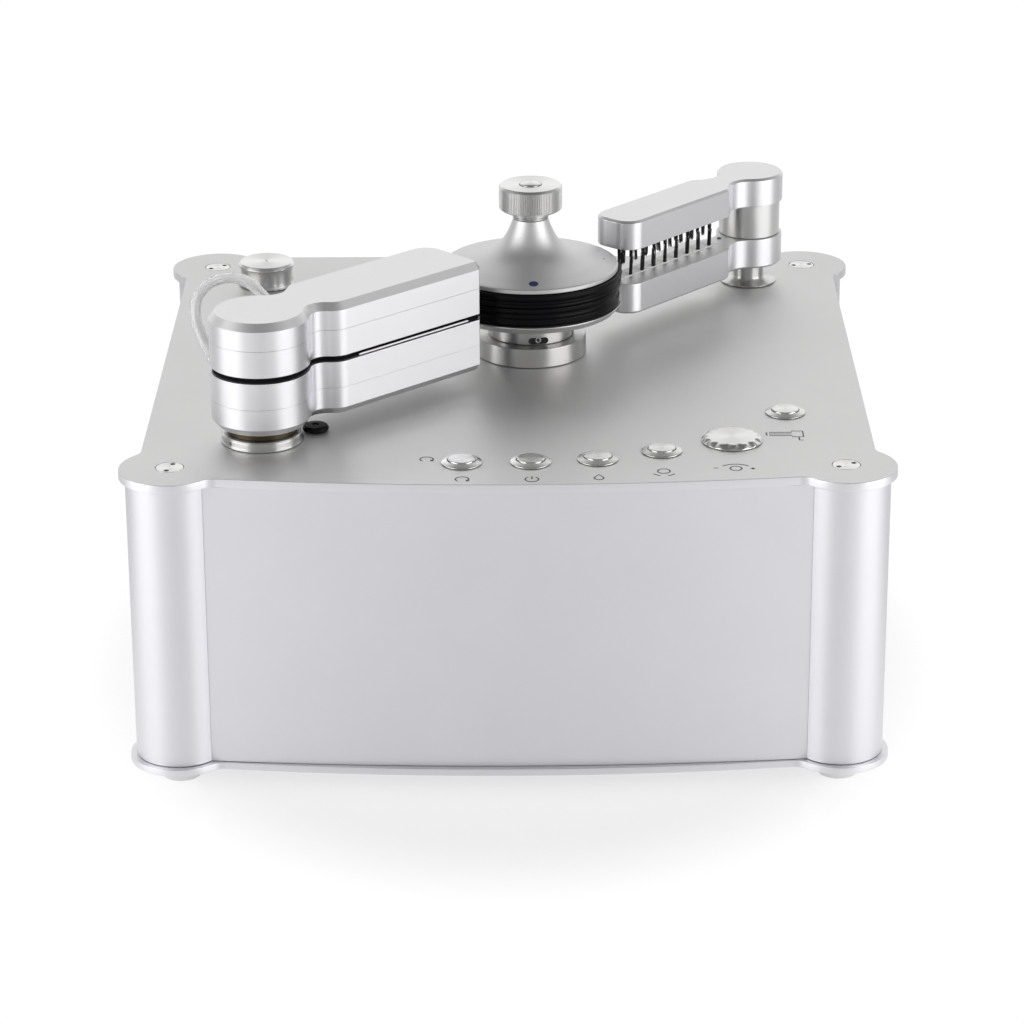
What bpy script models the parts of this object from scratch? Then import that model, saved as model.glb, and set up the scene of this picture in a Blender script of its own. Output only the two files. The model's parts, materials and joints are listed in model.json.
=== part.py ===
"""Record cleaning machine with a clamped platter, a vacuum arm and a brush arm on a closed case.

Metres, +Z up. The origin is on the floor under the middle of the case, and the front faces -Y.
"""
from math import asin, atan2, cos, hypot, pi, radians, sin, sqrt

import bmesh
import bpy
import numpy as np
from mathutils import Matrix, Vector

# Gaps, cuts and roundness
SEAT_GAP = 0.0003
CUT_OVERRUN = 0.002
WELD_DISTANCE = 0.000001
LARGE_SIDES = 32
MEDIUM_SIDES = 20
SMALL_SIDES = 12
TINY_SIDES = 8
CORNER_STEPS = 4
LOBE_STEPS = 10
HEAD_STEPS = 16
SHARP_ANGLE = radians(30)

# Case: four columns between two plates of one outline
COLUMN_X = 0.174
COLUMN_Y = 0.166
COLUMN_RADIUS = 0.0233
COLUMN_HEIGHT = 0.1545
LOBE_MARGIN = 0.0032
SIDE_EDGE_MARGIN = 0.017
SIDE_EDGE_X = COLUMN_X + SIDE_EDGE_MARGIN
BACK_EDGE_MARGIN = 0.0185
BACK_EDGE_Y = COLUMN_Y + BACK_EDGE_MARGIN
FRONT_EDGE_MARGIN = 0.0265
FRONT_EDGE_Y = COLUMN_Y + FRONT_EDGE_MARGIN
FRONT_EDGE_SAGITTA = 0.0097
FRONT_EDGE_CHORD_SETBACK = 0.024
FRONT_EDGE_HALF_CHORD = COLUMN_X - FRONT_EDGE_CHORD_SETBACK
LOBE_FILLET = 0.009
EDGE_BREAK = 0.0005
TOP_PLATE_THICKNESS = 0.0048
BOTTOM_PLATE_THICKNESS = 0.004
PANEL_THICKNESS = 0.003
PANEL_SETBACK = 0.0035
PANEL_REACH = 0.0035
FRONT_PANEL_SAGITTA = 0.0078
SLOT_CLEARANCE = 0.0003

# Feet, each with the long bolt that holds foot, plates and column together
FOOT_HEIGHT = 0.0096
FOOT_TOP_RADIUS = 0.014
FOOT_SOLE_RADIUS = 0.0105
FOOT_STEP_HEIGHT = 0.0052
TIE_HEAD_RADIUS = 0.0072
TIE_HEAD_HEIGHT = 0.003
TIE_SHANK_RADIUS = 0.004
TIE_PIN_HOLE_RADIUS = 0.0012
TIE_PIN_HOLE_DEPTH = 0.002
TIE_PIN_CIRCLE_RADIUS = 0.0048
TIE_HEAD_TURNS = {"front_left": 75, "front_right": 32, "rear_left": 38, "rear_right": 12}

# Heights above the floor
BOTTOM_PLATE_Z = FOOT_HEIGHT + SEAT_GAP
CASE_FLOOR_Z = BOTTOM_PLATE_Z + BOTTOM_PLATE_THICKNESS
COLUMN_Z = CASE_FLOOR_Z + SEAT_GAP
CASE_CEILING_Z = COLUMN_Z + COLUMN_HEIGHT + SEAT_GAP
DECK_Z = CASE_CEILING_Z + TOP_PLATE_THICKNESS

# Places on the deck, as shares of the column spacing
PLATTER_PLACE_SHARES = (0.0713, 0.0785)
VACUUM_PIVOT_SHARES = (-0.7402, -0.7557)
BRUSH_PIVOT_SHARES = (0.8075, 0.8278)
BUMPER_PLACE_SHARES = (-0.5833, -0.6785)
FILLER_PLACE_SHARES = (-0.8195, 0.807)
SPEED_KNOB_SHARES = (0.6724, -0.7867)
BUTTON_PLACE_SHARES = {
    "auto_button": (-0.1368, -0.9709),
    "power_button": (0.0678, -0.969),
    "liquid_button": (0.2667, -0.9456),
    "platter_button": (0.4586, -0.8778),
    "vacuum_button": (0.8483, -0.5342),
}

# Platter, bearing and record clamp: heights are above the deck
BEARING_RING_RADIUS = 0.0307
BEARING_RING_HEIGHT = 0.0112
BEARING_BARREL_RADIUS = 0.026
BEARING_BARREL_DEPTH = 0.045
SPINDLE_RADIUS = 0.011
SPINDLE_CLEARANCE = 0.0003
SPINDLE_TAIL_RADIUS = 0.008
HUB_RADIUS = 0.024
HUB_HEIGHT = 0.0141
RECORD_PIN_RADIUS = 0.0036
RECORD_PIN_LENGTH = 0.022
SEAL_RADIUS = 0.0506
SEAL_THICKNESS = 0.0071
SEAL_WAIST_DEPTH = 0.0014
PLATTER_DISC_THICKNESS = 0.0042
PLATTER_DISC_SETBACK = 0.0006
PLATTER_DISC_RADIUS = SEAL_RADIUS - PLATTER_DISC_SETBACK
PLATTER_UNDERSIDE_BEVEL = 0.003
PLATTER_UNDERSIDE_RADIUS = PLATTER_DISC_RADIUS - PLATTER_UNDERSIDE_BEVEL
PLATTER_BOSS_RADIUS = 0.0142
MAT_THICKNESS = 0.0107
MAT_SETBACK = 0.0004
MAT_RADIUS = SEAL_RADIUS - MAT_SETBACK
MAT_GROOVE_DEPTH = 0.0016
MAT_GROOVE_HEIGHT_SHARE = 0.62
MAT_LIP_HEIGHT_SHARE = 0.72
CLAMP_SETBACK = 0.0016
CLAMP_RIM_RADIUS = SEAL_RADIUS - CLAMP_SETBACK
CLAMP_BEVEL = 0.0015
CLAMP_RIM_HEIGHT = 0.0027
CLAMP_NECK_RADIUS = 0.0096
CLAMP_SLOPE_HEIGHT = 0.0095
CLAMP_FLARE_HEIGHT = 0.0167
CLAMP_FLARE_SHARE = 6.5
CLAMP_CURVE_STEPS = 7
KNOB_SHANK_RADIUS = 0.005
KNOB_SHANK_LENGTH = 0.0115
KNOB_COLLAR_RADIUS = 0.0105
KNOB_COLLAR_HEIGHT = 0.0061
KNOB_RADIUS = 0.0174
KNOB_HEIGHT = 0.0128
KNOB_CHAMFER = 0.001
KNOB_INSET_RADIUS = 0.0064
KNOB_INSET_DEPTH = 0.0015
KNOB_DOME_HEIGHT = 0.0012

# Belt drive under the deck
PULLEY_DROP = 0.078
PULLEY_WIDTH = 0.008
DRIVEN_PULLEY_RADIUS = 0.055
MOTOR_PULLEY_RADIUS = 0.011
PULLEY_FLANGE = 0.002
PULLEY_FLANGE_WIDTH = 0.0012
BELT_THICKNESS = 0.0015
PULLEY_SPACING = 0.092
MOTOR_RADIUS = 0.022
MOTOR_LENGTH = 0.046
MOTOR_FLANGE_SIZE = 0.052
MOTOR_FLANGE_THICKNESS = 0.003
MOTOR_SHAFT_RADIUS = 0.003
MOTOR_SHAFT_REACH = 0.012

# Vacuum arm: heights are above the deck, the outline lies along the arm
VACUUM_ARM_TOE = radians(-0.9)
VACUUM_HEAD_RADIUS = 0.0262
VACUUM_NECK_HALF_WIDTH = 0.0156
VACUUM_NECK_FILLET = 0.0086
VACUUM_SHOULDER_RADIUS = 0.012
VACUUM_HALF_WIDTH = 0.0228
VACUUM_TIP_GAP = 0.0085
VACUUM_FRONT_CORNER = 0.004
VACUUM_BACK_CORNER = 0.013
VACUUM_BASE_RADIUS = 0.0217
VACUUM_BASE_HEIGHT = 0.0054
VACUUM_BUSH_RADIUS = 0.0187
VACUUM_BUSH_HEIGHT = 0.0042
VACUUM_LAYER_HEIGHTS = (0.0149, 0.0142)
VACUUM_UPPER_LAYER_HEIGHTS = (0.0142, 0.0143)
VACUUM_CHAMFER_HEIGHT = 0.0039
VACUUM_CHAMFER_INSET = 0.0032
VACUUM_LIP_THICKNESS = 0.0012
VACUUM_LIP_INSET = 0.0011
VACUUM_SLOT_HALF_WIDTH = 0.0012
VACUUM_SLOT_DEPTH = 0.006
VACUUM_SLOT_START = 0.050
VACUUM_SLOT_END_MARGIN = 0.011
VACUUM_POST_RADIUS = 0.009
VACUUM_POST_HEIGHT = 0.030
VACUUM_BARREL_RADIUS = 0.014
VACUUM_BARREL_DEPTH = 0.018
VACUUM_PASSAGE_RADIUS = 0.004
GUIDE_PIN_RADIUS = 0.006
GUIDE_PIN_SOCKET_DEPTH = 0.0055
GUIDE_PIN_REACH = 0.0185
STOP_PIN_RADIUS = 0.0013
STOP_PIN_DROP = 0.0082

# Suction hose from the upper half of the vacuum arm round to the lower half
HOSE_RADIUS = 0.003
HOSE_PORT_RADIUS = 0.004
HOSE_PORT_LENGTH = 0.003
HOSE_PORT_ROOT = 0.006
UPPER_PORT_ANGLE = radians(90)
UPPER_PORT_SPOT = (0.030, 0.0205, 0.063)
LOWER_PORT_ANGLE = radians(92)
LOWER_PORT_HEIGHT = 0.0325
HOSE_STEP_COUNT = 15
HOSE_ROUTE = (
    (0.0297, 0.0345, 0.0655),
    (0.0278, 0.0390, 0.0698),
    (0.0254, 0.0440, 0.0718),
    (0.0220, 0.0495, 0.0722),
    (0.0146, 0.0563, 0.0696),
    (0.0078, 0.0593, 0.0629),
    (0.0038, 0.0570, 0.0539),
    (0.0024, 0.0499, 0.0430),
    (0.0012, 0.0420, 0.0359),
)

# Brush arm: heights are above the deck, the outline lies along the arm
BRUSH_ARM_TOE = radians(4.4)
BRUSH_HEAD_RADIUS = 0.0191
BRUSH_NECK_HALF_WIDTH = 0.0082
BRUSH_NECK_FILLET = 0.014
BRUSH_SHOULDER_RADIUS = 0.006
BRUSH_HALF_WIDTH = 0.0147
BRUSH_TIP_GAP = 0.0018
BRUSH_CORNER = 0.0105
BRUSH_BASE_HEIGHT = 0.0125
BRUSH_FLANGE_RADIUS = 0.0162
BRUSH_FLANGE_HEIGHT = 0.001
BRUSH_DISH_HEIGHT = 0.0032
BRUSH_POST_RADIUS = 0.009
BRUSH_PIN_RADIUS = 0.006
BRUSH_BARREL_RADIUS = 0.008
BRUSH_BARREL_DEPTH = 0.014
BRUSH_PASSAGE_RADIUS = 0.002
BRUSH_LOWER_HEIGHT = 0.0176
BRUSH_SPACER_HEIGHT = 0.0195
BRUSH_SPACER_RADIUS = 0.0176
BRUSH_UPPER_HEIGHT = 0.0166
BRUSH_CHAMFER = 0.0013
STRIP_START = 0.032
STRIP_END_MARGIN = 0.0034
STRIP_BACK_V = -0.0078
LOWER_STRIP_FRONT_V = 0.0022
UPPER_STRIP_FRONT_V = 0.0078
STRIP_DEPTH = 0.002
STRIP_PROUD = 0.0004
TUFT_START = 0.0383
TUFT_END_MARGIN = 0.00705
TUFT_COUNT = 9
MAIN_ROW_V = 0.0008
FRONT_ROW_V = 0.0055
FRONT_ROW_SHIFT = 0.0018
STRAND_RADIUS = 0.00022
STRAND_SPACING = 0.00055
STRAND_ROWS = 4
STRAND_COLUMNS = 3
STRAND_SIDES = 3
STRAND_ROOT = 0.0006
BRISTLE_TIP_GAP = 0.0003

# Controls on the deck
BEZEL_RADIUS = 0.0107
BEZEL_EDGE_HEIGHT = 0.0006
BEZEL_HEIGHT = 0.0018
BUTTON_RADIUS = 0.0072
BUTTON_PROUD = 0.0009
BUTTON_LENGTH = 0.0065
BUTTON_TRAVEL = 0.0012
BUTTON_EDGE = 0.0004
HOUSING_RADIUS = 0.0092
HOUSING_DEPTH = 0.020
BRACKET_WIDTH = 0.008
BRACKET_THICKNESS = 0.002
BRACKET_RISE = 0.001
SPEED_KNOB_RADIUS = 0.016
SPEED_KNOB_TOP_RADIUS = 0.0134
SPEED_KNOB_HEIGHT = 0.0038
SPEED_KNOB_EDGE = 0.0008
SPEED_KNOB_SCALLOPS = 14
SPEED_KNOB_SCALLOP_DEPTH = 0.0009
SPEED_SHAFT_RADIUS = 0.003
SPEED_SHAFT_LENGTH = 0.011
POTENTIOMETER_RADIUS = 0.009
POTENTIOMETER_HEIGHT = 0.013
POTENTIOMETER_BUSH_RADIUS = 0.0045
BUMPER_RADIUS = 0.007
BUMPER_HEIGHT = 0.0034
BUMPER_EDGE = 0.0012
BUMPER_STUD_RADIUS = 0.002

# Filler cap and tanks
CAP_RIM_RADIUS = 0.0164
CAP_FLARE_RADIUS = 0.0164
CAP_WAIST_RADIUS = 0.0149
CAP_HEIGHT = 0.0142
CAP_RIM_EDGE = 0.0016
CAP_DIMPLE_RADIUS = 0.0008
CAP_PLUG_RADIUS = 0.0097
CAP_PLUG_DEPTH = 0.010
NECK_RADIUS = 0.0122
NECK_BORE_RADIUS = 0.010
TANK_WALL = 0.0025
TANK_CORNER = 0.014
TANK_LENGTH = 0.120
TANK_WIDTH = 0.098
TANK_NECK_MARGIN_X = 0.0176
TANK_NECK_MARGIN_Y = 0.0147
WASTE_TANK_HEIGHT = 0.058
TANK_HEAD_ROOM = 0.012
SUCTION_PORT_RADIUS = 0.006
SUCTION_PORT_BORE = 0.004
SUCTION_PORT_LENGTH = 0.006
DRAIN_RADIUS = 0.008
DRAIN_BORE_RADIUS = 0.005
DRAIN_HEIGHT = 0.018
DRAIN_PROUD = 0.0015
DRAIN_PLUG_HEAD_RADIUS = 0.009
DRAIN_PLUG_HEAD_LENGTH = 0.005
DRAIN_PLUG_STEM_LENGTH = 0.012

# Pumps, transformer and control board on the case floor
PUMP_PLACE_SHARES = (0.575, -0.538)
PUMP_RADIUS = 0.042
PUMP_HEIGHT = 0.044
PUMP_MOTOR_RADIUS = 0.028
PUMP_MOTOR_HEIGHT = 0.034
PUMP_EDGE = 0.003
FLUID_PUMP_SIZE = (0.036, 0.044, 0.034)
FLUID_PUMP_PLACE_SHARES = (-0.144, 0.728)
FLUID_PUMP_MOTOR_RADIUS = 0.013
FLUID_PUMP_MOTOR_HEIGHT = 0.022
TRANSFORMER_PLACE_SHARES = (0.60, 0.36)
TRANSFORMER_RADIUS = 0.042
TRANSFORMER_BORE_RADIUS = 0.010
TRANSFORMER_HEIGHT = 0.034
TRANSFORMER_EDGE = 0.008
BOARD_SIZE = (0.105, 0.062)
BOARD_THICKNESS = 0.0016
BOARD_PLACE_SHARES = (-0.172, -0.747)
STANDOFF_RADIUS = 0.003
STANDOFF_HEIGHT = 0.008
STANDOFF_MARGIN = 0.006
CAPACITOR_RADIUS = 0.008
CAPACITOR_HEIGHT = 0.022
HEATSINK_SIZE = (0.030, 0.010, 0.018)
CHIP_SIZE = (0.014, 0.014, 0.002)
TERMINAL_SIZE = (0.040, 0.008, 0.010)
BOARD_PART_SIZES = (HEATSINK_SIZE, CHIP_SIZE, TERMINAL_SIZE)
BOARD_PART_SHARES = ((0.15, 0.2), (-0.15, -0.15), (0.22, -0.35))
FLUID_PIPE_RADIUS = 0.0035
PIPE_STRAIGHT = 0.014
PIPE_STEP_COUNT = 7
PIPE_SQUARE_SHARE = 0.3

# Mains inlet with its switch, in the rear panel
INLET_PLACE_SHARE = 0.632
INLET_HEIGHT_SHARE = 0.34
INLET_WIDTH = 0.027
INLET_TALL = 0.047
INLET_DEPTH = 0.024
INLET_FLANGE = 0.002
INLET_FLANGE_MARGIN = 0.002
SOCKET_WIDTH = 0.0235
SOCKET_TALL = 0.0165
SOCKET_DEPTH = 0.016
SOCKET_DROP = 0.0115
CONTACT_WIDTH = 0.002
CONTACT_TALL = 0.004
CONTACT_LENGTH = 0.013
CONTACT_SPACING = 0.007
CONTACT_RISE = 0.0042
CONTACT_DROP = 0.0012
SWITCH_WIDTH = 0.020
SWITCH_TALL = 0.013
SWITCH_DEPTH = 0.010
SWITCH_RISE = 0.0125
ROCKER_CLEARANCE = 0.0004
ROCKER_TILT = radians(8)
ROCKER_BACK_STEPS = 6
VENT_COUNT = 11
VENT_WIDTH = 0.003
VENT_TALL = 0.036
VENT_SPACING = 0.0065
VENT_HEIGHT_SHARE = 0.55

# Finishes: colour, roughness, metallic
SATIN_ALUMINIUM = ((0.62, 0.62, 0.64), 0.36, 1.0)
BRIGHT_ALUMINIUM = ((0.78, 0.78, 0.80), 0.26, 1.0)
POLISHED_STEEL = ((0.70, 0.69, 0.66), 0.12, 1.0)
DARK_STEEL = ((0.09, 0.09, 0.10), 0.35, 1.0)
BRONZE = ((0.36, 0.29, 0.20), 0.3, 1.0)
BLACK_RUBBER = ((0.015, 0.015, 0.018), 0.55, 0.0)
BLACK_VELVET = ((0.02, 0.02, 0.02), 0.95, 0.0)
BLACK_PLASTIC = ((0.03, 0.03, 0.03), 0.45, 0.0)
WHITE_PLASTIC = ((0.82, 0.82, 0.81), 0.5, 0.0)
CLEAR_HOSE = ((0.85, 0.87, 0.88), 0.25, 0.0)
TANK_PLASTIC = ((0.80, 0.82, 0.80), 0.4, 0.0)
GREY_METAL = ((0.35, 0.36, 0.38), 0.4, 1.0)
WINDING_TAPE = ((0.75, 0.60, 0.15), 0.6, 0.0)
BOARD_GREEN = ((0.03, 0.20, 0.08), 0.5, 0.0)


# Small helpers for places and curves
def place(shares):
    """A point of the deck from its shares of the column spacing."""
    return Vector((shares[0] * COLUMN_X, shares[1] * COLUMN_Y, 0))


def arc(centre, radius, start, end, steps):
    """Points of an arc from one angle to another, both ends included."""
    turns = [start + (end - start) * step / steps for step in range(steps + 1)]
    return [(centre[0] + radius * cos(a), centre[1] + radius * sin(a)) for a in turns]


def angle_to(start, end):
    """Direction from one plan point to another."""
    return atan2(end[1] - start[1], end[0] - start[0])


def bow_radius(sagitta, half_chord):
    """Radius of a shallow arc from its rise and half its chord."""
    return (half_chord ** 2 + sagitta ** 2) / (sagitta + sagitta)


def circles_meet(centre_a, radius_a, centre_b, radius_b):
    """The crossing of two circles that lies left of the way from a to b."""
    span = hypot(centre_b[0] - centre_a[0], centre_b[1] - centre_a[1])
    along = (radius_a ** 2 - radius_b ** 2 + span ** 2) / (span + span)
    across = sqrt(radius_a ** 2 - along ** 2)
    ux, uy = (centre_b[0] - centre_a[0]) / span, (centre_b[1] - centre_a[1]) / span
    return (centre_a[0] + along * ux - across * uy, centre_a[1] + along * uy + across * ux)


def lift(outline, z):
    """Gives an outline its height."""
    return [(x, y, z) for x, y in outline]


def rectangle(low, high):
    """Corners of a plan rectangle, counterclockwise."""
    return [low, (high[0], low[1]), high, (low[0], high[1])]


def rounded_rectangle(low, high, radius, steps):
    """Plan rectangle with round corners."""
    points = []
    for turn, (x, y) in enumerate(((high[0], low[1]), high, (low[0], high[1]), low)):
        centre = (x + radius * (1 if x == low[0] else -1), y + radius * (1 if y == low[1] else -1))
        points += arc(centre, radius, (turn - 1) * pi / 2, turn * pi / 2, steps)
    return points


def strip_outline(route, width):
    """Outline of a flat strip along a plan route."""
    left, right = [], []
    for i, spot in enumerate(route):
        along = route[min(i + 1, len(route) - 1)] - route[max(i - 1, 0)]
        across = Vector((-along.y, along.x, 0)).normalized() * width / 2
        left.append((spot + across).xy)
        right.append((spot - across).xy)
    return right + left[::-1]


def pipe_route(start, leave, middle, arrive, end):
    """Smooth way between two ports, which leaves and meets them square."""
    first, last = start.lerp(leave, PIPE_SQUARE_SHARE), end.lerp(arrive, PIPE_SQUARE_SHARE)
    return [start, *smooth_route([first, leave, middle, arrive, last], PIPE_STEP_COUNT), end]


def smooth_route(points, count):
    """Reads evenly spaced points from a curve through the route, straight at both ends."""
    route = np.array(points)
    knots = np.concatenate(([0], np.cumsum(np.linalg.norm(np.diff(route, axis=0), axis=1))))
    steps = np.diff(knots)
    size = len(route)
    system = np.zeros((size, size))
    right = np.zeros((size, 3))
    slopes = np.diff(route, axis=0) / steps[:, None]
    system[0, 0] = system[-1, -1] = 1
    right[0], right[-1] = slopes[0], slopes[-1]
    for i in range(1, size - 1):
        system[i, i - 1] = steps[i]
        system[i, i] = 2 * (steps[i - 1] + steps[i])
        system[i, i + 1] = steps[i - 1]
        right[i] = 3 * (steps[i] * slopes[i - 1] + steps[i - 1] * slopes[i])
    tangents = np.linalg.solve(system, right)
    dense = []
    for i in range(size - 1):
        for t in np.linspace(0, 1, 40, endpoint=False):
            low, high = (1 + 2 * t) * (1 - t) ** 2, t * t * (3 - 2 * t)
            rise, fall = t * (1 - t) ** 2, t * t * (t - 1)
            bend = steps[i] * (rise * tangents[i] + fall * tangents[i + 1])
            dense.append(low * route[i] + high * route[i + 1] + bend)
    dense = np.array(dense + [route[-1]])
    lengths = np.concatenate(([0], np.cumsum(np.linalg.norm(np.diff(dense, axis=0), axis=1))))
    wanted = np.linspace(0, lengths[-1], count)
    return [tuple(np.interp(w, lengths, dense[:, axis]) for axis in range(3)) for w in wanted]


# Small helpers for meshes and objects
def add_turned(bm, profile, centre=(0, 0, 0), sides=MEDIUM_SIDES):
    """Spins a profile of (radius, height) round a vertical axis into a closed body."""
    verts = [bm.verts.new((r, 0, z)) for r, z in profile]
    edges = [bm.edges.new(pair) for pair in zip(verts, verts[1:])]
    if profile[0][0] > 0:
        edges.append(bm.edges.new((verts[-1], verts[0])))
    before = set(bm.verts) - set(verts)
    bmesh.ops.spin(bm, geom=verts + edges, cent=(0, 0, 0), axis=(0, 0, 1), angle=2 * pi,
                   steps=sides, use_merge=True)
    body = [v for v in bm.verts if v not in before]
    bmesh.ops.remove_doubles(bm, verts=body, dist=WELD_DISTANCE)
    body = [v for v in bm.verts if v not in before]
    bmesh.ops.translate(bm, verts=body, vec=centre)


def add_loft(bm, rings):
    """Skins rings of equal point count and caps both ends."""
    levels = [[bm.verts.new(point) for point in ring] for ring in rings]
    count = len(levels[0])
    for low, high in zip(levels, levels[1:]):
        for i in range(count):
            j = (i + 1) % count
            bm.faces.new((low[i], low[j], high[j], high[i]))
    bm.faces.new(reversed(levels[0]))
    bm.faces.new(levels[-1])


def add_block(bm, low, high):
    """Box between two corners."""
    low, high = Vector(low), Vector(high)
    size = Matrix.Diagonal((*(high - low), 1))
    bmesh.ops.create_cube(bm, size=1, matrix=Matrix.Translation((low + high) / 2) @ size)


def add_rod(bm, start, end, radius, sides=SMALL_SIDES):
    """Round bar between two points."""
    start, end = Vector(start), Vector(end)
    turn = (end - start).to_track_quat("Z", "Y").to_matrix().to_4x4()
    bmesh.ops.create_cone(bm, cap_ends=True, segments=sides, radius1=radius, radius2=radius,
                          depth=(end - start).length,
                          matrix=Matrix.Translation((start + end) / 2) @ turn)


def add_pipe(bm, points, radius, side, sides=TINY_SIDES):
    """Round pipe along points, whose rings start on the side that is square to its whole run."""
    path = [Vector(point) for point in points]
    rings = []
    for i, centre in enumerate(path):
        along = (path[min(i + 1, len(path) - 1)] - path[max(i - 1, 0)]).normalized()
        across = (Vector(side) - along * along.dot(Vector(side))).normalized()
        up = along.cross(across)
        turns = [2 * pi * j / sides for j in range(sides)]
        rings.append([centre + radius * (across * cos(turn) + up * sin(turn)) for turn in turns])
    add_loft(bm, rings)


def make_material(name, finish):
    """Principled material of one sub-part."""
    colour, roughness, metallic = finish
    material = bpy.data.materials.new(name)
    material.use_nodes = True
    shader = material.node_tree.nodes["Principled BSDF"]
    shader.inputs["Base Color"].default_value = (*colour, 1)
    shader.inputs["Roughness"].default_value = roughness
    shader.inputs["Metallic"].default_value = metallic
    return material


def make_object(name, bm, parent):
    """Turns finished mesh data into an object under its parent."""
    bmesh.ops.recalc_face_normals(bm, faces=bm.faces)
    mesh = bpy.data.meshes.new(name)
    bm.to_mesh(mesh)
    bm.free()
    mesh.shade_smooth()
    mesh.set_sharp_from_angle(angle=SHARP_ANGLE)
    obj = bpy.data.objects.new(name, mesh)
    bpy.context.scene.collection.objects.link(obj)
    obj.parent = parent
    return obj


def make_piece(name, bm, finish, parent=None):
    """One sub-part with its own material."""
    obj = make_object(name, bm, parent)
    obj.data.materials.append(make_material(name, finish))
    return obj


def make_tool(name, bm, parent=None):
    """A cutting or joining shape that isn't part of the machine."""
    obj = make_object(name, bm, parent)
    obj.hide_render = True
    obj.display_type = "WIRE"
    return obj


def combine(target, tool, operation):
    """Cuts a tool out of a piece or joins it on."""
    modifier = target.modifiers.new(tool.name, "BOOLEAN")
    modifier.operation = operation
    modifier.solver = "EXACT"
    modifier.object = tool


def make_pivot(name, location, angle=0):
    """Empty on a joint's axis, which carries the pieces of that body."""
    empty = bpy.data.objects.new(name, None)
    bpy.context.scene.collection.objects.link(empty)
    empty.location = location
    empty.rotation_euler = (0, 0, angle)
    return empty


def ring_profile(bore, radius, low, high):
    """Plain ring or tube."""
    return [(bore, low), (radius, low), (radius, high), (bore, high)]


def disc_profile(radius, low, high):
    """Plain solid cylinder."""
    return [(0, low), (radius, low), (radius, high), (0, high)]


# Plan places and heights that several pieces share
PLATTER = place(PLATTER_PLACE_SHARES)
VACUUM_PIVOT = place(VACUUM_PIVOT_SHARES)
BRUSH_PIVOT = place(BRUSH_PIVOT_SHARES)
FILLER = place(FILLER_PLACE_SHARES)
CORNERS = {
    "front_left": (-COLUMN_X, -COLUMN_Y),
    "front_right": (COLUMN_X, -COLUMN_Y),
    "rear_left": (-COLUMN_X, COLUMN_Y),
    "rear_right": (COLUMN_X, COLUMN_Y),
}
HUB_Z = BEARING_RING_HEIGHT + SEAT_GAP
PLATTER_DISC_Z = HUB_Z + HUB_HEIGHT + SEAT_GAP
MAT_Z = PLATTER_DISC_Z + PLATTER_DISC_THICKNESS + SEAT_GAP
RECORD_Z = MAT_Z + MAT_THICKNESS
SEAL_Z = RECORD_Z + SEAT_GAP
CLAMP_Z = SEAL_Z + SEAL_THICKNESS + SEAT_GAP
CLAMP_TOP_Z = CLAMP_Z + CLAMP_RIM_HEIGHT + CLAMP_SLOPE_HEIGHT + CLAMP_FLARE_HEIGHT
VACUUM_BUSH_Z = VACUUM_BASE_HEIGHT + SEAT_GAP
VACUUM_LOWER_Z = VACUUM_BUSH_Z + VACUUM_BUSH_HEIGHT + SEAT_GAP
VACUUM_BLOCK_Z = VACUUM_LOWER_Z + VACUUM_LAYER_HEIGHTS[0] + SEAT_GAP
VACUUM_LOWER_TOP_Z = VACUUM_BLOCK_Z + VACUUM_LAYER_HEIGHTS[1]
VACUUM_LOWER_LIP_Z = VACUUM_LOWER_TOP_Z + SEAT_GAP
VACUUM_UPPER_LIP_Z = VACUUM_LOWER_LIP_Z + VACUUM_LIP_THICKNESS + SEAT_GAP
VACUUM_UPPER_Z = VACUUM_UPPER_LIP_Z + VACUUM_LIP_THICKNESS + SEAT_GAP
VACUUM_COVER_Z = VACUUM_UPPER_Z + VACUUM_UPPER_LAYER_HEIGHTS[0] + SEAT_GAP
VACUUM_TOP_Z = VACUUM_COVER_Z + VACUUM_UPPER_LAYER_HEIGHTS[1]
BRUSH_LOWER_Z = BRUSH_BASE_HEIGHT + SEAT_GAP
BRUSH_SPACER_Z = BRUSH_LOWER_Z + BRUSH_LOWER_HEIGHT + SEAT_GAP
BRUSH_UPPER_Z = BRUSH_SPACER_Z + BRUSH_SPACER_HEIGHT + SEAT_GAP
BRUSH_TOP_Z = BRUSH_UPPER_Z + BRUSH_UPPER_HEIGHT
SIDE_PANEL_X = SIDE_EDGE_X - PANEL_SETBACK
REAR_PANEL_Y = BACK_EDGE_Y - PANEL_SETBACK
FRONT_PANEL_Y = FRONT_EDGE_Y - PANEL_SETBACK


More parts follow.
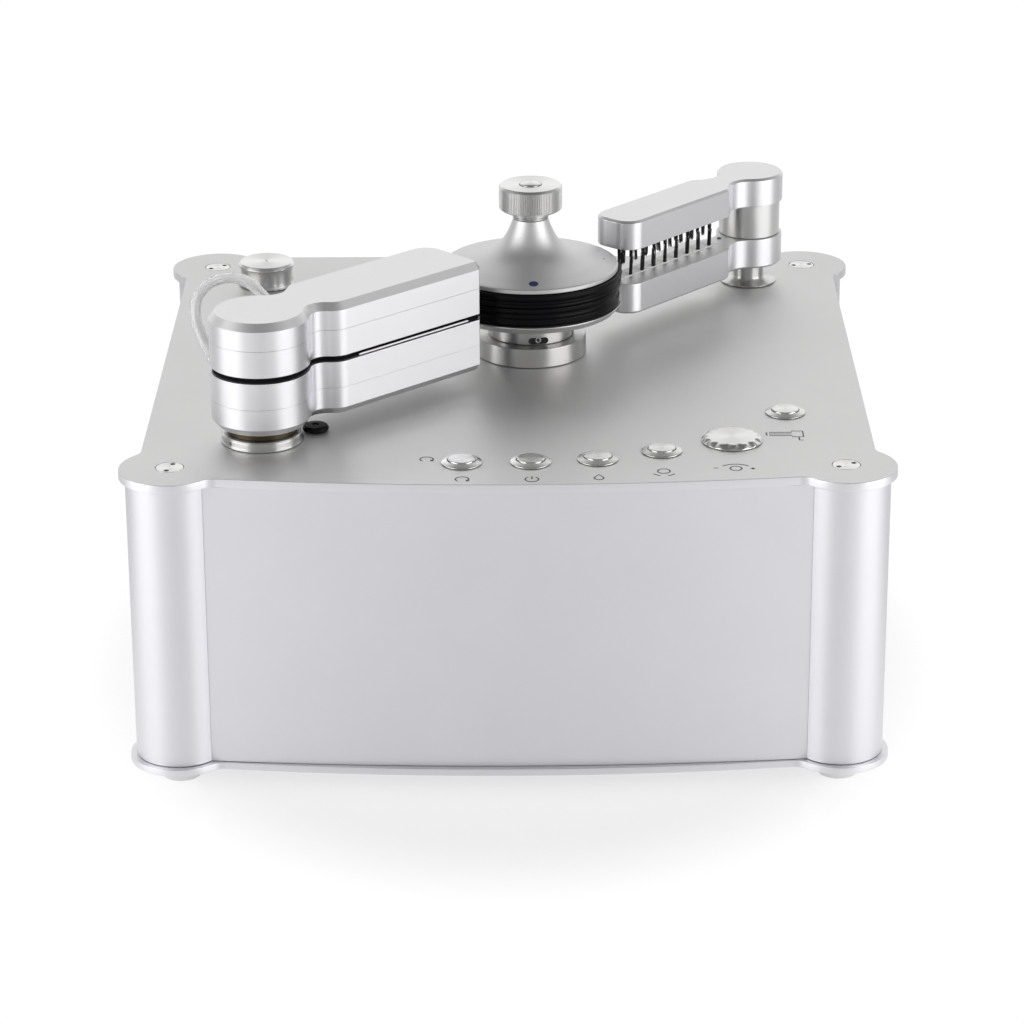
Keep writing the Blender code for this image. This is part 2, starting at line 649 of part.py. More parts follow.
# Case
def plate_outline():
    """Outline shared by both plates: round lobes over the columns and a bowed front edge."""
    lobe = COLUMN_RADIUS + LOBE_MARGIN
    reach = lobe + LOBE_FILLET
    bow = bow_radius(FRONT_EDGE_SAGITTA, FRONT_EDGE_HALF_CHORD)
    bow_centre = (0, bow - FRONT_EDGE_Y)
    front, back = (COLUMN_X, -COLUMN_Y), (COLUMN_X, COLUMN_Y)
    bow_fillet = circles_meet(front, reach, bow_centre, bow + LOBE_FILLET)
    side_x = SIDE_EDGE_X + LOBE_FILLET
    side_rise = sqrt(reach ** 2 - (side_x - COLUMN_X) ** 2)
    side_fillets = ((side_x, -COLUMN_Y + side_rise), (side_x, COLUMN_Y - side_rise))
    back_y = BACK_EDGE_Y + LOBE_FILLET
    back_fillet = (COLUMN_X - sqrt(reach ** 2 - (back_y - COLUMN_Y) ** 2), back_y)

    def fillet(centre, start, end):
        return arc(centre, LOBE_FILLET, start, end, CORNER_STEPS)

    bow_turn = angle_to(bow_centre, bow_fillet)
    points = arc(bow_centre, bow, -pi / 2, bow_turn, LOBE_STEPS // 2)[:-1]
    points += fillet(bow_fillet, bow_turn + pi, angle_to(bow_fillet, front))[:-1]
    points += arc(front, lobe, angle_to(front, bow_fillet), 0, LOBE_STEPS)[:-1]
    points += arc(front, lobe, 0, angle_to(front, side_fillets[0]), CORNER_STEPS)[:-1]
    points += fillet(side_fillets[0], angle_to(side_fillets[0], front) + 2 * pi, pi)
    points += fillet(side_fillets[1], pi, angle_to(side_fillets[1], back))[:-1]
    points += arc(back, lobe, angle_to(back, side_fillets[1]), 0, CORNER_STEPS)[:-1]
    points += arc(back, lobe, 0, pi / 2, LOBE_STEPS // 2)[:-1]
    points += arc(back, lobe, pi / 2, angle_to(back, back_fillet), CORNER_STEPS)[:-1]
    points += fillet(back_fillet, angle_to(back_fillet, back), -pi / 2)
    return points + [(-x, y) for x, y in reversed(points[1:])]


def make_plate(name, low, thickness):
    """A plate of the shared outline."""
    bm = bmesh.new()
    add_loft(bm, [lift(plate_outline(), low), lift(plate_outline(), low + thickness)])
    return make_piece(name, bm, SATIN_ALUMINIUM)


def make_top_plate():
    """Deck with a stepped hole for each bolt head and a plain hole for each thing that passes it."""
    plate = make_plate("top_plate", CASE_CEILING_Z, TOP_PLATE_THICKNESS)
    low, high = CASE_CEILING_Z - CUT_OVERRUN, DECK_Z + CUT_OVERRUN
    step = DECK_Z - TIE_HEAD_HEIGHT - SEAT_GAP
    shank, head = TIE_SHANK_RADIUS + SEAT_GAP, TIE_HEAD_RADIUS + SEAT_GAP
    bm = bmesh.new()
    for corner in CORNERS.values():
        profile = [(0, low), (shank, low), (shank, step), (head, step), (head, high), (0, high)]
        add_turned(bm, profile, (*corner, 0), SMALL_SIDES)
    holes = [(PLATTER, BEARING_BARREL_RADIUS, MEDIUM_SIDES),
             (VACUUM_PIVOT, VACUUM_BARREL_RADIUS, MEDIUM_SIDES),
             (BRUSH_PIVOT, BRUSH_BARREL_RADIUS, MEDIUM_SIDES), (FILLER, NECK_RADIUS, MEDIUM_SIDES),
             (place(SPEED_KNOB_SHARES), POTENTIOMETER_BUSH_RADIUS, SMALL_SIDES),
             (place(BUMPER_PLACE_SHARES), BUMPER_STUD_RADIUS, SMALL_SIDES)]
    holes += [(place(shares), HOUSING_RADIUS, SMALL_SIDES) for shares in BUTTON_PLACE_SHARES.values()]
    for centre, radius, sides in holes:
        add_turned(bm, disc_profile(radius + SEAT_GAP, low, high), centre, sides)
    combine(plate, make_tool("deck_holes", bm), "DIFFERENCE")


def make_bottom_plate():
    """Floor of the case with a hole for each long bolt."""
    plate = make_plate("bottom_plate", BOTTOM_PLATE_Z, BOTTOM_PLATE_THICKNESS)
    low, high = BOTTOM_PLATE_Z - CUT_OVERRUN, CASE_FLOOR_Z + CUT_OVERRUN
    bm = bmesh.new()
    for corner in CORNERS.values():
        add_turned(bm, disc_profile(TIE_SHANK_RADIUS + SEAT_GAP, low, high), (*corner, 0), SMALL_SIDES)
    combine(plate, make_tool("floor_holes", bm), "DIFFERENCE")


def front_panel_rings(margin):
    """Bowed front panel, or with a margin the slot that takes it."""
    half = sqrt(COLUMN_RADIUS ** 2 - (FRONT_PANEL_Y - FRONT_PANEL_SAGITTA - COLUMN_Y) ** 2)
    half_chord = COLUMN_X - half
    radius = bow_radius(FRONT_PANEL_SAGITTA, half_chord)
    centre = (0, radius - FRONT_PANEL_Y)
    reach = asin((half_chord + PANEL_REACH + margin) / radius)
    outer = arc(centre, radius + margin, -pi / 2 - reach, -pi / 2 + reach, LOBE_STEPS)
    inner = arc(centre, radius - PANEL_THICKNESS - margin, -pi / 2 + reach, -pi / 2 - reach, LOBE_STEPS)
    overrun = CUT_OVERRUN if margin else 0
    low, high = COLUMN_Z - overrun, COLUMN_Z + COLUMN_HEIGHT + overrun
    return [lift(outer + inner, low), lift(outer + inner, high)]


def flat_panel_rings(margin, sign_x, sign_y):
    """Side panel or rear panel, or with a margin the slot that takes it."""
    if sign_x:
        inner = sign_x * (SIDE_PANEL_X - PANEL_THICKNESS - margin)
        outer = sign_x * (SIDE_PANEL_X + margin)
        half = COLUMN_Y - sqrt(COLUMN_RADIUS ** 2 - (SIDE_PANEL_X - COLUMN_X) ** 2) + PANEL_REACH + margin
        low, high = (min(inner, outer), -half), (max(inner, outer), half)
    else:
        half = COLUMN_X - sqrt(COLUMN_RADIUS ** 2 - (REAR_PANEL_Y - COLUMN_Y) ** 2) + PANEL_REACH + margin
        low = (-half, REAR_PANEL_Y - PANEL_THICKNESS - margin)
        high = (half, REAR_PANEL_Y + margin)
    overrun = CUT_OVERRUN if margin else 0
    outline = rectangle(low, high)
    return [lift(outline, COLUMN_Z - overrun), lift(outline, COLUMN_Z + COLUMN_HEIGHT + overrun)]


def make_panels_and_columns():
    """Four panels let into slots in four columns."""
    shapes = {"front_panel": lambda margin: front_panel_rings(margin),
              "left_side_panel": lambda margin: flat_panel_rings(margin, -1, 0),
              "right_side_panel": lambda margin: flat_panel_rings(margin, 1, 0),
              "rear_panel": lambda margin: flat_panel_rings(margin, 0, 1)}
    panels, slots = {}, {}
    for name, rings in shapes.items():
        bm = bmesh.new()
        add_loft(bm, rings(0))
        panels[name] = make_piece(name, bm, SATIN_ALUMINIUM)
        bm = bmesh.new()
        add_loft(bm, rings(SLOT_CLEARANCE))
        slots[name] = make_tool(name + "_slot", bm)
    for name, (x, y) in CORNERS.items():
        bm = bmesh.new()
        profile = ring_profile(TIE_SHANK_RADIUS + SEAT_GAP, COLUMN_RADIUS, COLUMN_Z, COLUMN_Z + COLUMN_HEIGHT)
        add_turned(bm, profile, (x, y, 0))
        column = make_piece("column_" + name, bm, SATIN_ALUMINIUM)
        combine(column, slots["front_panel" if y < 0 else "rear_panel"], "DIFFERENCE")
        combine(column, slots["left_side_panel" if x < 0 else "right_side_panel"], "DIFFERENCE")
    return panels["rear_panel"]


def make_feet():
    """Four stepped feet, each with its bolt, whose flush head has two holes for a pin wrench."""
    neck = DECK_Z - TIE_HEAD_HEIGHT
    profile = [(0, 0), (FOOT_SOLE_RADIUS, 0), (FOOT_SOLE_RADIUS, FOOT_STEP_HEIGHT),
               (FOOT_TOP_RADIUS, FOOT_STEP_HEIGHT),
               (FOOT_TOP_RADIUS, FOOT_HEIGHT), (TIE_SHANK_RADIUS, FOOT_HEIGHT), (TIE_SHANK_RADIUS, neck),
               (TIE_HEAD_RADIUS, neck), (TIE_HEAD_RADIUS, DECK_Z), (0, DECK_Z)]
    for name, (x, y) in CORNERS.items():
        foot, holes = bmesh.new(), bmesh.new()
        add_turned(foot, profile, (x, y, 0), SMALL_SIDES)
        for half_turn in (0, 180):
            turn = radians(TIE_HEAD_TURNS[name] + half_turn)
            spot = (x + TIE_PIN_CIRCLE_RADIUS * cos(turn), y + TIE_PIN_CIRCLE_RADIUS * sin(turn))
            add_rod(holes, (*spot, DECK_Z - TIE_PIN_HOLE_DEPTH), (*spot, DECK_Z + CUT_OVERRUN),
                    TIE_PIN_HOLE_RADIUS, TINY_SIDES)
        combine(make_piece("foot_" + name, foot, WHITE_PLASTIC), make_tool("pin_holes_" + name, holes),
                "DIFFERENCE")


# Platter and its drive
def make_bearing_housing():
    """Polished ring on the deck with the bearing barrel under it."""
    bore = SPINDLE_RADIUS + SPINDLE_CLEARANCE
    bottom = -TOP_PLATE_THICKNESS - BEARING_BARREL_DEPTH
    profile = [(bore, bottom), (BEARING_BARREL_RADIUS, bottom), (BEARING_BARREL_RADIUS, SEAT_GAP),
               (BEARING_RING_RADIUS, SEAT_GAP), (BEARING_RING_RADIUS, BEARING_RING_HEIGHT - EDGE_BREAK),
               (BEARING_RING_RADIUS - EDGE_BREAK, BEARING_RING_HEIGHT), (bore, BEARING_RING_HEIGHT)]
    bm = bmesh.new()
    add_turned(bm, profile, PLATTER + Vector((0, 0, DECK_Z)))
    make_piece("platter_bearing_housing", bm, POLISHED_STEEL)


def make_platter(pivot):
    """Spindle, disc and rubber mat, all turned about the platter axis."""
    shoulder = -PULLEY_DROP + PULLEY_WIDTH + SEAT_GAP
    hub_top = HUB_Z + HUB_HEIGHT
    pin_top = RECORD_Z + RECORD_PIN_LENGTH
    bm = bmesh.new()
    add_turned(bm, [(0, -PULLEY_DROP), (SPINDLE_TAIL_RADIUS, -PULLEY_DROP), (SPINDLE_TAIL_RADIUS, shoulder),
                    (SPINDLE_RADIUS, shoulder), (SPINDLE_RADIUS, HUB_Z), (HUB_RADIUS, HUB_Z),
                    (HUB_RADIUS, hub_top), (RECORD_PIN_RADIUS, hub_top),
                    (RECORD_PIN_RADIUS, pin_top - RECORD_PIN_RADIUS / 2), (RECORD_PIN_RADIUS / 2, pin_top),
                    (0, pin_top)])
    make_piece("platter_spindle", bm, POLISHED_STEEL, pivot)
    bore = RECORD_PIN_RADIUS + SPINDLE_CLEARANCE
    disc_top = PLATTER_DISC_Z + PLATTER_DISC_THICKNESS
    bm = bmesh.new()
    add_turned(bm, [(bore, PLATTER_DISC_Z), (PLATTER_UNDERSIDE_RADIUS, PLATTER_DISC_Z),
                    (PLATTER_DISC_RADIUS, disc_top - EDGE_BREAK), (PLATTER_DISC_RADIUS, disc_top),
                    (PLATTER_BOSS_RADIUS, disc_top), (PLATTER_BOSS_RADIUS, RECORD_Z), (bore, RECORD_Z)],
               sides=LARGE_SIDES)
    make_piece("platter_disc", bm, SATIN_ALUMINIUM, pivot)
    bore = PLATTER_BOSS_RADIUS + SEAT_GAP
    groove = MAT_Z + MAT_GROOVE_HEIGHT_SHARE * MAT_THICKNESS
    lip = MAT_Z + MAT_LIP_HEIGHT_SHARE * MAT_THICKNESS
    bm = bmesh.new()
    add_turned(bm, [(bore, MAT_Z), (MAT_RADIUS - EDGE_BREAK, MAT_Z),
                    (MAT_RADIUS, MAT_Z + MAT_GROOVE_DEPTH + MAT_GROOVE_DEPTH),
                    (MAT_RADIUS - MAT_GROOVE_DEPTH, groove), (MAT_RADIUS, lip),
                    (MAT_RADIUS - MAT_GROOVE_DEPTH / 2, RECORD_Z), (bore, RECORD_Z)], sides=LARGE_SIDES)
    make_piece("platter_mat", bm, BLACK_RUBBER, pivot)


def pulley_profile(bore, radius):
    """Flat belt pulley with a low flange at each edge."""
    low, high = -PULLEY_DROP, -PULLEY_DROP + PULLEY_WIDTH
    rim = radius + PULLEY_FLANGE
    return [(bore, low), (rim, low), (rim, low + PULLEY_FLANGE_WIDTH), (radius, low + PULLEY_FLANGE_WIDTH),
            (radius, high - PULLEY_FLANGE_WIDTH), (rim, high - PULLEY_FLANGE_WIDTH), (rim, high),
            (bore, high)]


def make_belt_drive(platter_pivot, motor_pivot):
    """Pulley on the spindle, pulley on the motor shaft, belt round both, and the motor."""
    bm = bmesh.new()
    add_turned(bm, pulley_profile(SPINDLE_TAIL_RADIUS + SEAT_GAP, DRIVEN_PULLEY_RADIUS))
    make_piece("driven_pulley", bm, SATIN_ALUMINIUM, platter_pivot)
    motor_low = -TOP_PLATE_THICKNESS - SEAT_GAP - MOTOR_LENGTH
    shaft_top = motor_low + MOTOR_SHAFT_REACH
    bm = bmesh.new()
    rim = pulley_profile(0, MOTOR_PULLEY_RADIUS)[:-1]
    top = -PULLEY_DROP + PULLEY_WIDTH
    add_turned(bm, rim + [(MOTOR_SHAFT_RADIUS, top), (MOTOR_SHAFT_RADIUS, shaft_top), (0, shaft_top)],
               sides=SMALL_SIDES)
    make_piece("motor_pulley", bm, BRONZE, motor_pivot)
    bm = bmesh.new()
    bore = MOTOR_SHAFT_RADIUS + SPINDLE_CLEARANCE
    bore_top = shaft_top + SEAT_GAP
    flange_z = -TOP_PLATE_THICKNESS - SEAT_GAP - MOTOR_FLANGE_THICKNESS
    high = -TOP_PLATE_THICKNESS - SEAT_GAP
    centre = motor_pivot.location
    add_turned(bm, [(0, bore_top), (bore, bore_top), (bore, motor_low), (MOTOR_RADIUS, motor_low),
                    (MOTOR_RADIUS, high), (0, high)], centre, SMALL_SIDES)
    motor = make_piece("platter_motor", bm, GREY_METAL)
    half = MOTOR_FLANGE_SIZE / 2
    bm = bmesh.new()
    add_block(bm, centre + Vector((-half, -half, flange_z)), centre + Vector((half, half, high)))
    combine(motor, make_tool("motor_flange", bm), "UNION")
    make_drive_belt(platter_pivot.location, centre)


def belt_outline(grow, start, end):
    """Path round both pulleys, grown outward."""
    large, small = DRIVEN_PULLEY_RADIUS + grow, MOTOR_PULLEY_RADIUS + grow
    span = (end - start).length
    heading = atan2(end[1] - start[1], end[0] - start[0])
    lean = asin((large - small) / span)
    turn = pi / 2 - lean
    return (arc(start, large, heading + turn, heading + 2 * pi - turn, MEDIUM_SIDES)
            + arc(end, small, heading - turn, heading + turn, LOBE_STEPS))


def make_drive_belt(start, end):
    """Flat belt, cut as a closed loop."""
    low = DECK_Z - PULLEY_DROP + PULLEY_FLANGE_WIDTH + SEAT_GAP
    high = DECK_Z - PULLEY_DROP + PULLEY_WIDTH - PULLEY_FLANGE_WIDTH - SEAT_GAP
    bm = bmesh.new()
    outline = belt_outline(SEAT_GAP + BELT_THICKNESS, start, end)
    add_loft(bm, [lift(outline, low), lift(outline, high)])
    belt = make_piece("drive_belt", bm, BLACK_RUBBER)
    outline = belt_outline(SEAT_GAP, start, end)
    bm = bmesh.new()
    add_loft(bm, [lift(outline, low - CUT_OVERRUN), lift(outline, high + CUT_OVERRUN)])
    combine(belt, make_tool("belt_inside", bm), "DIFFERENCE")


# Record clamp
def clamp_curve():
    """Upper side of the clamp, from the rim up to the neck: a slope that flares into the neck."""
    rim = CLAMP_RIM_RADIUS - CLAMP_BEVEL
    run = rim - CLAMP_NECK_RADIUS
    base = CLAMP_Z + CLAMP_RIM_HEIGHT
    points = []
    for step in range(CLAMP_CURVE_STEPS + 1):
        share = sin(step / CLAMP_CURVE_STEPS * pi / 2)
        rise = CLAMP_SLOPE_HEIGHT * share + CLAMP_FLARE_HEIGHT * share ** CLAMP_FLARE_SHARE
        points.append((rim - run * share, base + rise))
    return points


def make_clamp(pivot):
    """Flared clamp body with a rubber ring under it."""
    pin = RECORD_PIN_RADIUS + SPINDLE_CLEARANCE
    shank = KNOB_SHANK_RADIUS + SEAT_GAP
    shank_z = CLAMP_TOP_Z - KNOB_SHANK_LENGTH - SEAT_GAP
    bm = bmesh.new()
    add_turned(bm, [(pin, SEAL_Z), (PLATTER_BOSS_RADIUS, SEAL_Z), (PLATTER_BOSS_RADIUS, CLAMP_Z),
                    (CLAMP_RIM_RADIUS, CLAMP_Z), (CLAMP_RIM_RADIUS, CLAMP_Z + CLAMP_RIM_HEIGHT - CLAMP_BEVEL)]
               + clamp_curve() + [(shank, CLAMP_TOP_Z), (shank, shank_z), (pin, shank_z)], sides=LARGE_SIDES)
    make_piece("clamp_disc", bm, SATIN_ALUMINIUM, pivot)
    bore = PLATTER_BOSS_RADIUS + SEAT_GAP
    top = SEAL_Z + SEAL_THICKNESS
    bm = bmesh.new()
    add_turned(bm, [(bore, SEAL_Z), (SEAL_RADIUS - SEAL_WAIST_DEPTH / 2, SEAL_Z),
                    (SEAL_RADIUS - SEAL_WAIST_DEPTH, SEAL_Z + SEAL_THICKNESS / 3),
                    (SEAL_RADIUS, SEAL_Z + SEAL_THICKNESS * 2 / 3),
                    (SEAL_RADIUS - EDGE_BREAK, top), (bore, top)], sides=LARGE_SIDES)
    make_piece("clamp_seal", bm, BLACK_RUBBER, pivot)


def make_clamp_knob(pivot):
    """Knob with its collar, shank and a domed inset in its top."""
    low = CLAMP_TOP_Z + SEAT_GAP
    rim_z = low + KNOB_COLLAR_HEIGHT
    top = rim_z + KNOB_HEIGHT
    recess, floor = KNOB_INSET_RADIUS + SEAT_GAP, top - KNOB_INSET_DEPTH
    dome = [(KNOB_INSET_RADIUS * cos(turn), top + KNOB_DOME_HEIGHT * sin(turn))
            for turn in np.linspace(0, pi / 2, 5)]
    bm = bmesh.new()
    add_turned(bm, [(0, CLAMP_TOP_Z - KNOB_SHANK_LENGTH),
                    (KNOB_SHANK_RADIUS, CLAMP_TOP_Z - KNOB_SHANK_LENGTH),
                    (KNOB_SHANK_RADIUS, low), (KNOB_COLLAR_RADIUS - KNOB_CHAMFER / 2, low),
                    (KNOB_COLLAR_RADIUS, rim_z), (KNOB_RADIUS - KNOB_CHAMFER, rim_z),
                    (KNOB_RADIUS, rim_z + KNOB_CHAMFER), (KNOB_RADIUS, top - KNOB_CHAMFER),
                    (KNOB_RADIUS - KNOB_CHAMFER, top), (recess, top), (recess, floor),
                    (KNOB_INSET_RADIUS, floor)] + dome[:-1] + [(0, dome[-1][1])])
    make_piece("clamp_knob", bm, POLISHED_STEEL, pivot)


# Arms
def arm_outline(head, neck, fillet, shoulder, half_width, length, front_corner, back_corner, inset=0):
    """Arm seen from above, along +X: round head, drawn-in neck, shoulders and a straight blade.

    Each corner is a radius and a number of steps, where one step makes a chamfer.
    """
    neck_v = neck + fillet
    neck_u = sqrt((head + fillet) ** 2 - neck_v ** 2)
    shoulder_v = half_width - shoulder
    shoulder_u = neck_u + sqrt((fillet + shoulder) ** 2 - (neck_v - shoulder_v) ** 2)
    neck_centre, shoulder_centre = (neck_u, -neck_v), (shoulder_u, -shoulder_v)
    head_turn = atan2(neck_v, neck_u)
    meet = angle_to(neck_centre, shoulder_centre)

    def side(corner):
        radius, steps = corner
        points = arc(neck_centre, fillet + inset, pi - head_turn, meet, CORNER_STEPS)[1:-1]
        points += arc(shoulder_centre, shoulder - inset, meet - pi, -pi / 2, CORNER_STEPS)
        corner_centre = (length - radius, radius - half_width)
        return points + arc(corner_centre, radius - inset, -pi / 2, 0, steps)

    round_head = arc((0, 0), head - inset, head_turn, 2 * pi - head_turn, HEAD_STEPS)
    back = [(u, -v) for u, v in reversed(side(back_corner))]
    return round_head + side(front_corner) + back


def vacuum_outline(inset=0):
    """Outline of the vacuum arm."""
    length = (PLATTER - VACUUM_PIVOT).length - SEAL_RADIUS - VACUUM_TIP_GAP
    return arm_outline(VACUUM_HEAD_RADIUS, VACUUM_NECK_HALF_WIDTH, VACUUM_NECK_FILLET, VACUUM_SHOULDER_RADIUS,
                       VACUUM_HALF_WIDTH, length, (VACUUM_FRONT_CORNER, 1),
                       (VACUUM_BACK_CORNER, CORNER_STEPS), inset)


def brush_outline(inset=0):
    """Outline of the brush arm."""
    length = brush_length()
    return arm_outline(BRUSH_HEAD_RADIUS, BRUSH_NECK_HALF_WIDTH, BRUSH_NECK_FILLET, BRUSH_SHOULDER_RADIUS,
                       BRUSH_HALF_WIDTH, length, (BRUSH_CORNER, CORNER_STEPS),
                       (BRUSH_CORNER, CORNER_STEPS), inset)


def brush_length():
    """Reach of the brush arm from its pivot."""
    return (PLATTER - BRUSH_PIVOT).length - SEAL_RADIUS - BRUSH_TIP_GAP


def make_slot_tool(name, low, high, pivot):
    """Long suction slot under or over the record, for both halves of the vacuum arm."""
    length = (PLATTER - VACUUM_PIVOT).length - SEAL_RADIUS - VACUUM_TIP_GAP
    bm = bmesh.new()
    add_block(bm, (VACUUM_SLOT_START, -VACUUM_SLOT_HALF_WIDTH, low),
              (length - VACUUM_SLOT_END_MARGIN, VACUUM_SLOT_HALF_WIDTH, high))
    return make_tool(name, bm, pivot)


def upper_port():
    """Foot and direction of the upper nipple, on the arm's neck."""
    return Vector(UPPER_PORT_SPOT), Vector((cos(UPPER_PORT_ANGLE), sin(UPPER_PORT_ANGLE), 0))


def lower_port():
    """Foot and direction of the lower nipple, on the arm's round head."""
    toward = Vector((cos(LOWER_PORT_ANGLE), sin(LOWER_PORT_ANGLE), 0))
    return toward * VACUUM_HEAD_RADIUS + Vector((0, 0, LOWER_PORT_HEIGHT)), toward


def make_port_tool(name, port, pivot):
    """Short round nipple for the hose."""
    spot, toward = port
    bm = bmesh.new()
    root, end = spot - toward * HOSE_PORT_ROOT, spot + toward * HOSE_PORT_LENGTH
    add_rod(bm, root, end, HOSE_PORT_RADIUS, TINY_SIDES)
    return make_tool(name, bm, pivot)


def make_bore_tool(name, profile, pivot):
    """Round bore about the arm's axis."""
    bm = bmesh.new()
    add_turned(bm, profile)
    return make_tool(name, bm, pivot)


def make_arm_layer(name, rings, finish, pivot, tools):
    """One layer of an arm, bored and slotted."""
    bm = bmesh.new()
    add_loft(bm, rings)
    layer = make_piece(name, bm, finish, pivot)
    for tool, operation in tools:
        combine(layer, tool, operation)


def make_vacuum_base():
    """Ring on the deck with a hollow post above it and a barrel below, and the bronze bush on it."""
    bottom = -TOP_PLATE_THICKNESS - VACUUM_BARREL_DEPTH
    bore = VACUUM_PASSAGE_RADIUS
    bm = bmesh.new()
    centre = VACUUM_PIVOT + Vector((0, 0, DECK_Z))
    add_turned(bm, [(bore, bottom), (VACUUM_BARREL_RADIUS, bottom), (VACUUM_BARREL_RADIUS, SEAT_GAP),
                    (VACUUM_BASE_RADIUS, SEAT_GAP), (VACUUM_BASE_RADIUS, VACUUM_BASE_HEIGHT - EDGE_BREAK),
                    (VACUUM_BASE_RADIUS - EDGE_BREAK, VACUUM_BASE_HEIGHT),
                    (VACUUM_POST_RADIUS, VACUUM_BASE_HEIGHT), (VACUUM_POST_RADIUS, VACUUM_POST_HEIGHT),
                    (bore, VACUUM_POST_HEIGHT)], centre)
    make_piece("vacuum_arm_base", bm, POLISHED_STEEL)
    bm = bmesh.new()
    add_turned(bm, ring_profile(VACUUM_POST_RADIUS + SEAT_GAP, VACUUM_BUSH_RADIUS, VACUUM_BUSH_Z,
                                VACUUM_BUSH_Z + VACUUM_BUSH_HEIGHT), centre)
    make_piece("vacuum_arm_bush", bm, BRONZE)


def make_vacuum_lower_arm(pivot, heading):
    """Lower half: cover with its stop pin, block with the hose port, lips and guide pin."""
    cover_top = VACUUM_LOWER_Z + VACUUM_LAYER_HEIGHTS[0]
    low, bore = VACUUM_LOWER_Z - CUT_OVERRUN, VACUUM_POST_RADIUS + SPINDLE_CLEARANCE
    post_top = VACUUM_POST_HEIGHT + SEAT_GAP
    post = make_bore_tool("vacuum_post_bore", disc_profile(bore, low, post_top), pivot)
    bumper = place(BUMPER_PLACE_SHARES) - VACUUM_PIVOT
    bumper.rotate(Matrix.Rotation(-heading, 3, "Z"))
    pin_spot = bumper + Vector((0, BUMPER_RADIUS + SEAT_GAP + STOP_PIN_RADIUS, 0))
    bm = bmesh.new()
    add_rod(bm, pin_spot + Vector((0, 0, VACUUM_LOWER_Z - STOP_PIN_DROP)),
            pin_spot + Vector((0, 0, VACUUM_LOWER_Z + VACUUM_CHAMFER_HEIGHT)), STOP_PIN_RADIUS, TINY_SIDES)
    stop_pin = make_tool("stop_pin", bm, pivot)
    rings = [lift(vacuum_outline(VACUUM_CHAMFER_INSET), VACUUM_LOWER_Z),
             lift(vacuum_outline(), VACUUM_LOWER_Z + VACUUM_CHAMFER_HEIGHT),
             lift(vacuum_outline(), cover_top)]
    make_arm_layer("vacuum_arm_lower_cover", rings, BRIGHT_ALUMINIUM, pivot,
                   [(post, "DIFFERENCE"), (stop_pin, "UNION")])
    socket_low = VACUUM_LOWER_TOP_Z - GUIDE_PIN_SOCKET_DEPTH
    high = VACUUM_LOWER_TOP_Z + CUT_OVERRUN
    socket = make_bore_tool("guide_pin_socket",
                            disc_profile(GUIDE_PIN_RADIUS + SEAT_GAP, socket_low, high), pivot)
    port = make_port_tool("lower_port", lower_port(), pivot)
    slot = make_slot_tool("lower_suction_slot", VACUUM_LOWER_TOP_Z - VACUUM_SLOT_DEPTH, high, pivot)
    rings = [lift(vacuum_outline(), VACUUM_BLOCK_Z), lift(vacuum_outline(), VACUUM_LOWER_TOP_Z)]
    make_arm_layer("vacuum_arm_lower_block", rings, BRIGHT_ALUMINIUM, pivot,
                   [(post, "DIFFERENCE"), (socket, "DIFFERENCE"), (slot, "DIFFERENCE"), (port, "UNION")])
    make_lips("vacuum_arm_lower_lips", VACUUM_LOWER_LIP_Z, pivot)
    bm = bmesh.new()
    add_turned(bm, disc_profile(GUIDE_PIN_RADIUS, socket_low + SEAT_GAP,
                                VACUUM_LOWER_TOP_Z + GUIDE_PIN_REACH),
               sides=SMALL_SIDES)
    make_piece("vacuum_arm_guide_pin", bm, DARK_STEEL, pivot)


def make_lips(name, low, pivot):
    """Velvet lip plate round the suction slot, let in a little from the arm's edge."""
    high = low + VACUUM_LIP_THICKNESS
    bore = make_bore_tool(name + "_bore",
                          disc_profile(GUIDE_PIN_RADIUS + SPINDLE_CLEARANCE, low - CUT_OVERRUN,
                                                       high + CUT_OVERRUN), pivot)
    slot = make_slot_tool(name + "_slot", low - CUT_OVERRUN, high + CUT_OVERRUN, pivot)
    rings = [lift(vacuum_outline(VACUUM_LIP_INSET), low), lift(vacuum_outline(VACUUM_LIP_INSET), high)]
    make_arm_layer(name, rings, BLACK_VELVET, pivot, [(bore, "DIFFERENCE"), (slot, "DIFFERENCE")])


def make_vacuum_upper_arm(pivot):
    """Upper half, which slides up the guide pin: lips, block and chamfered cover."""
    low = VACUUM_UPPER_Z - CUT_OVERRUN
    bore_top = VACUUM_LOWER_TOP_Z + GUIDE_PIN_REACH + SEAT_GAP
    bore = make_bore_tool("guide_pin_bore",
                          disc_profile(GUIDE_PIN_RADIUS + SPINDLE_CLEARANCE, low, bore_top), pivot)
    slot = make_slot_tool("upper_suction_slot", low, VACUUM_UPPER_Z + VACUUM_SLOT_DEPTH, pivot)
    rings = [lift(vacuum_outline(), VACUUM_UPPER_Z),
             lift(vacuum_outline(), VACUUM_UPPER_Z + VACUUM_UPPER_LAYER_HEIGHTS[0])]
    make_arm_layer("vacuum_arm_upper_block", rings, BRIGHT_ALUMINIUM, pivot,
                   [(bore, "DIFFERENCE"), (slot, "DIFFERENCE")])
    port = make_port_tool("upper_port", upper_port(), pivot)
    rings = [lift(vacuum_outline(), VACUUM_COVER_Z),
             lift(vacuum_outline(), VACUUM_TOP_Z - VACUUM_CHAMFER_HEIGHT),
             lift(vacuum_outline(VACUUM_CHAMFER_INSET), VACUUM_TOP_Z)]
    make_arm_layer("vacuum_arm_upper_cover", rings, BRIGHT_ALUMINIUM, pivot,
                   [(bore, "DIFFERENCE"), (port, "UNION")])
    make_lips("vacuum_arm_upper_lips", VACUUM_UPPER_LIP_Z, pivot)


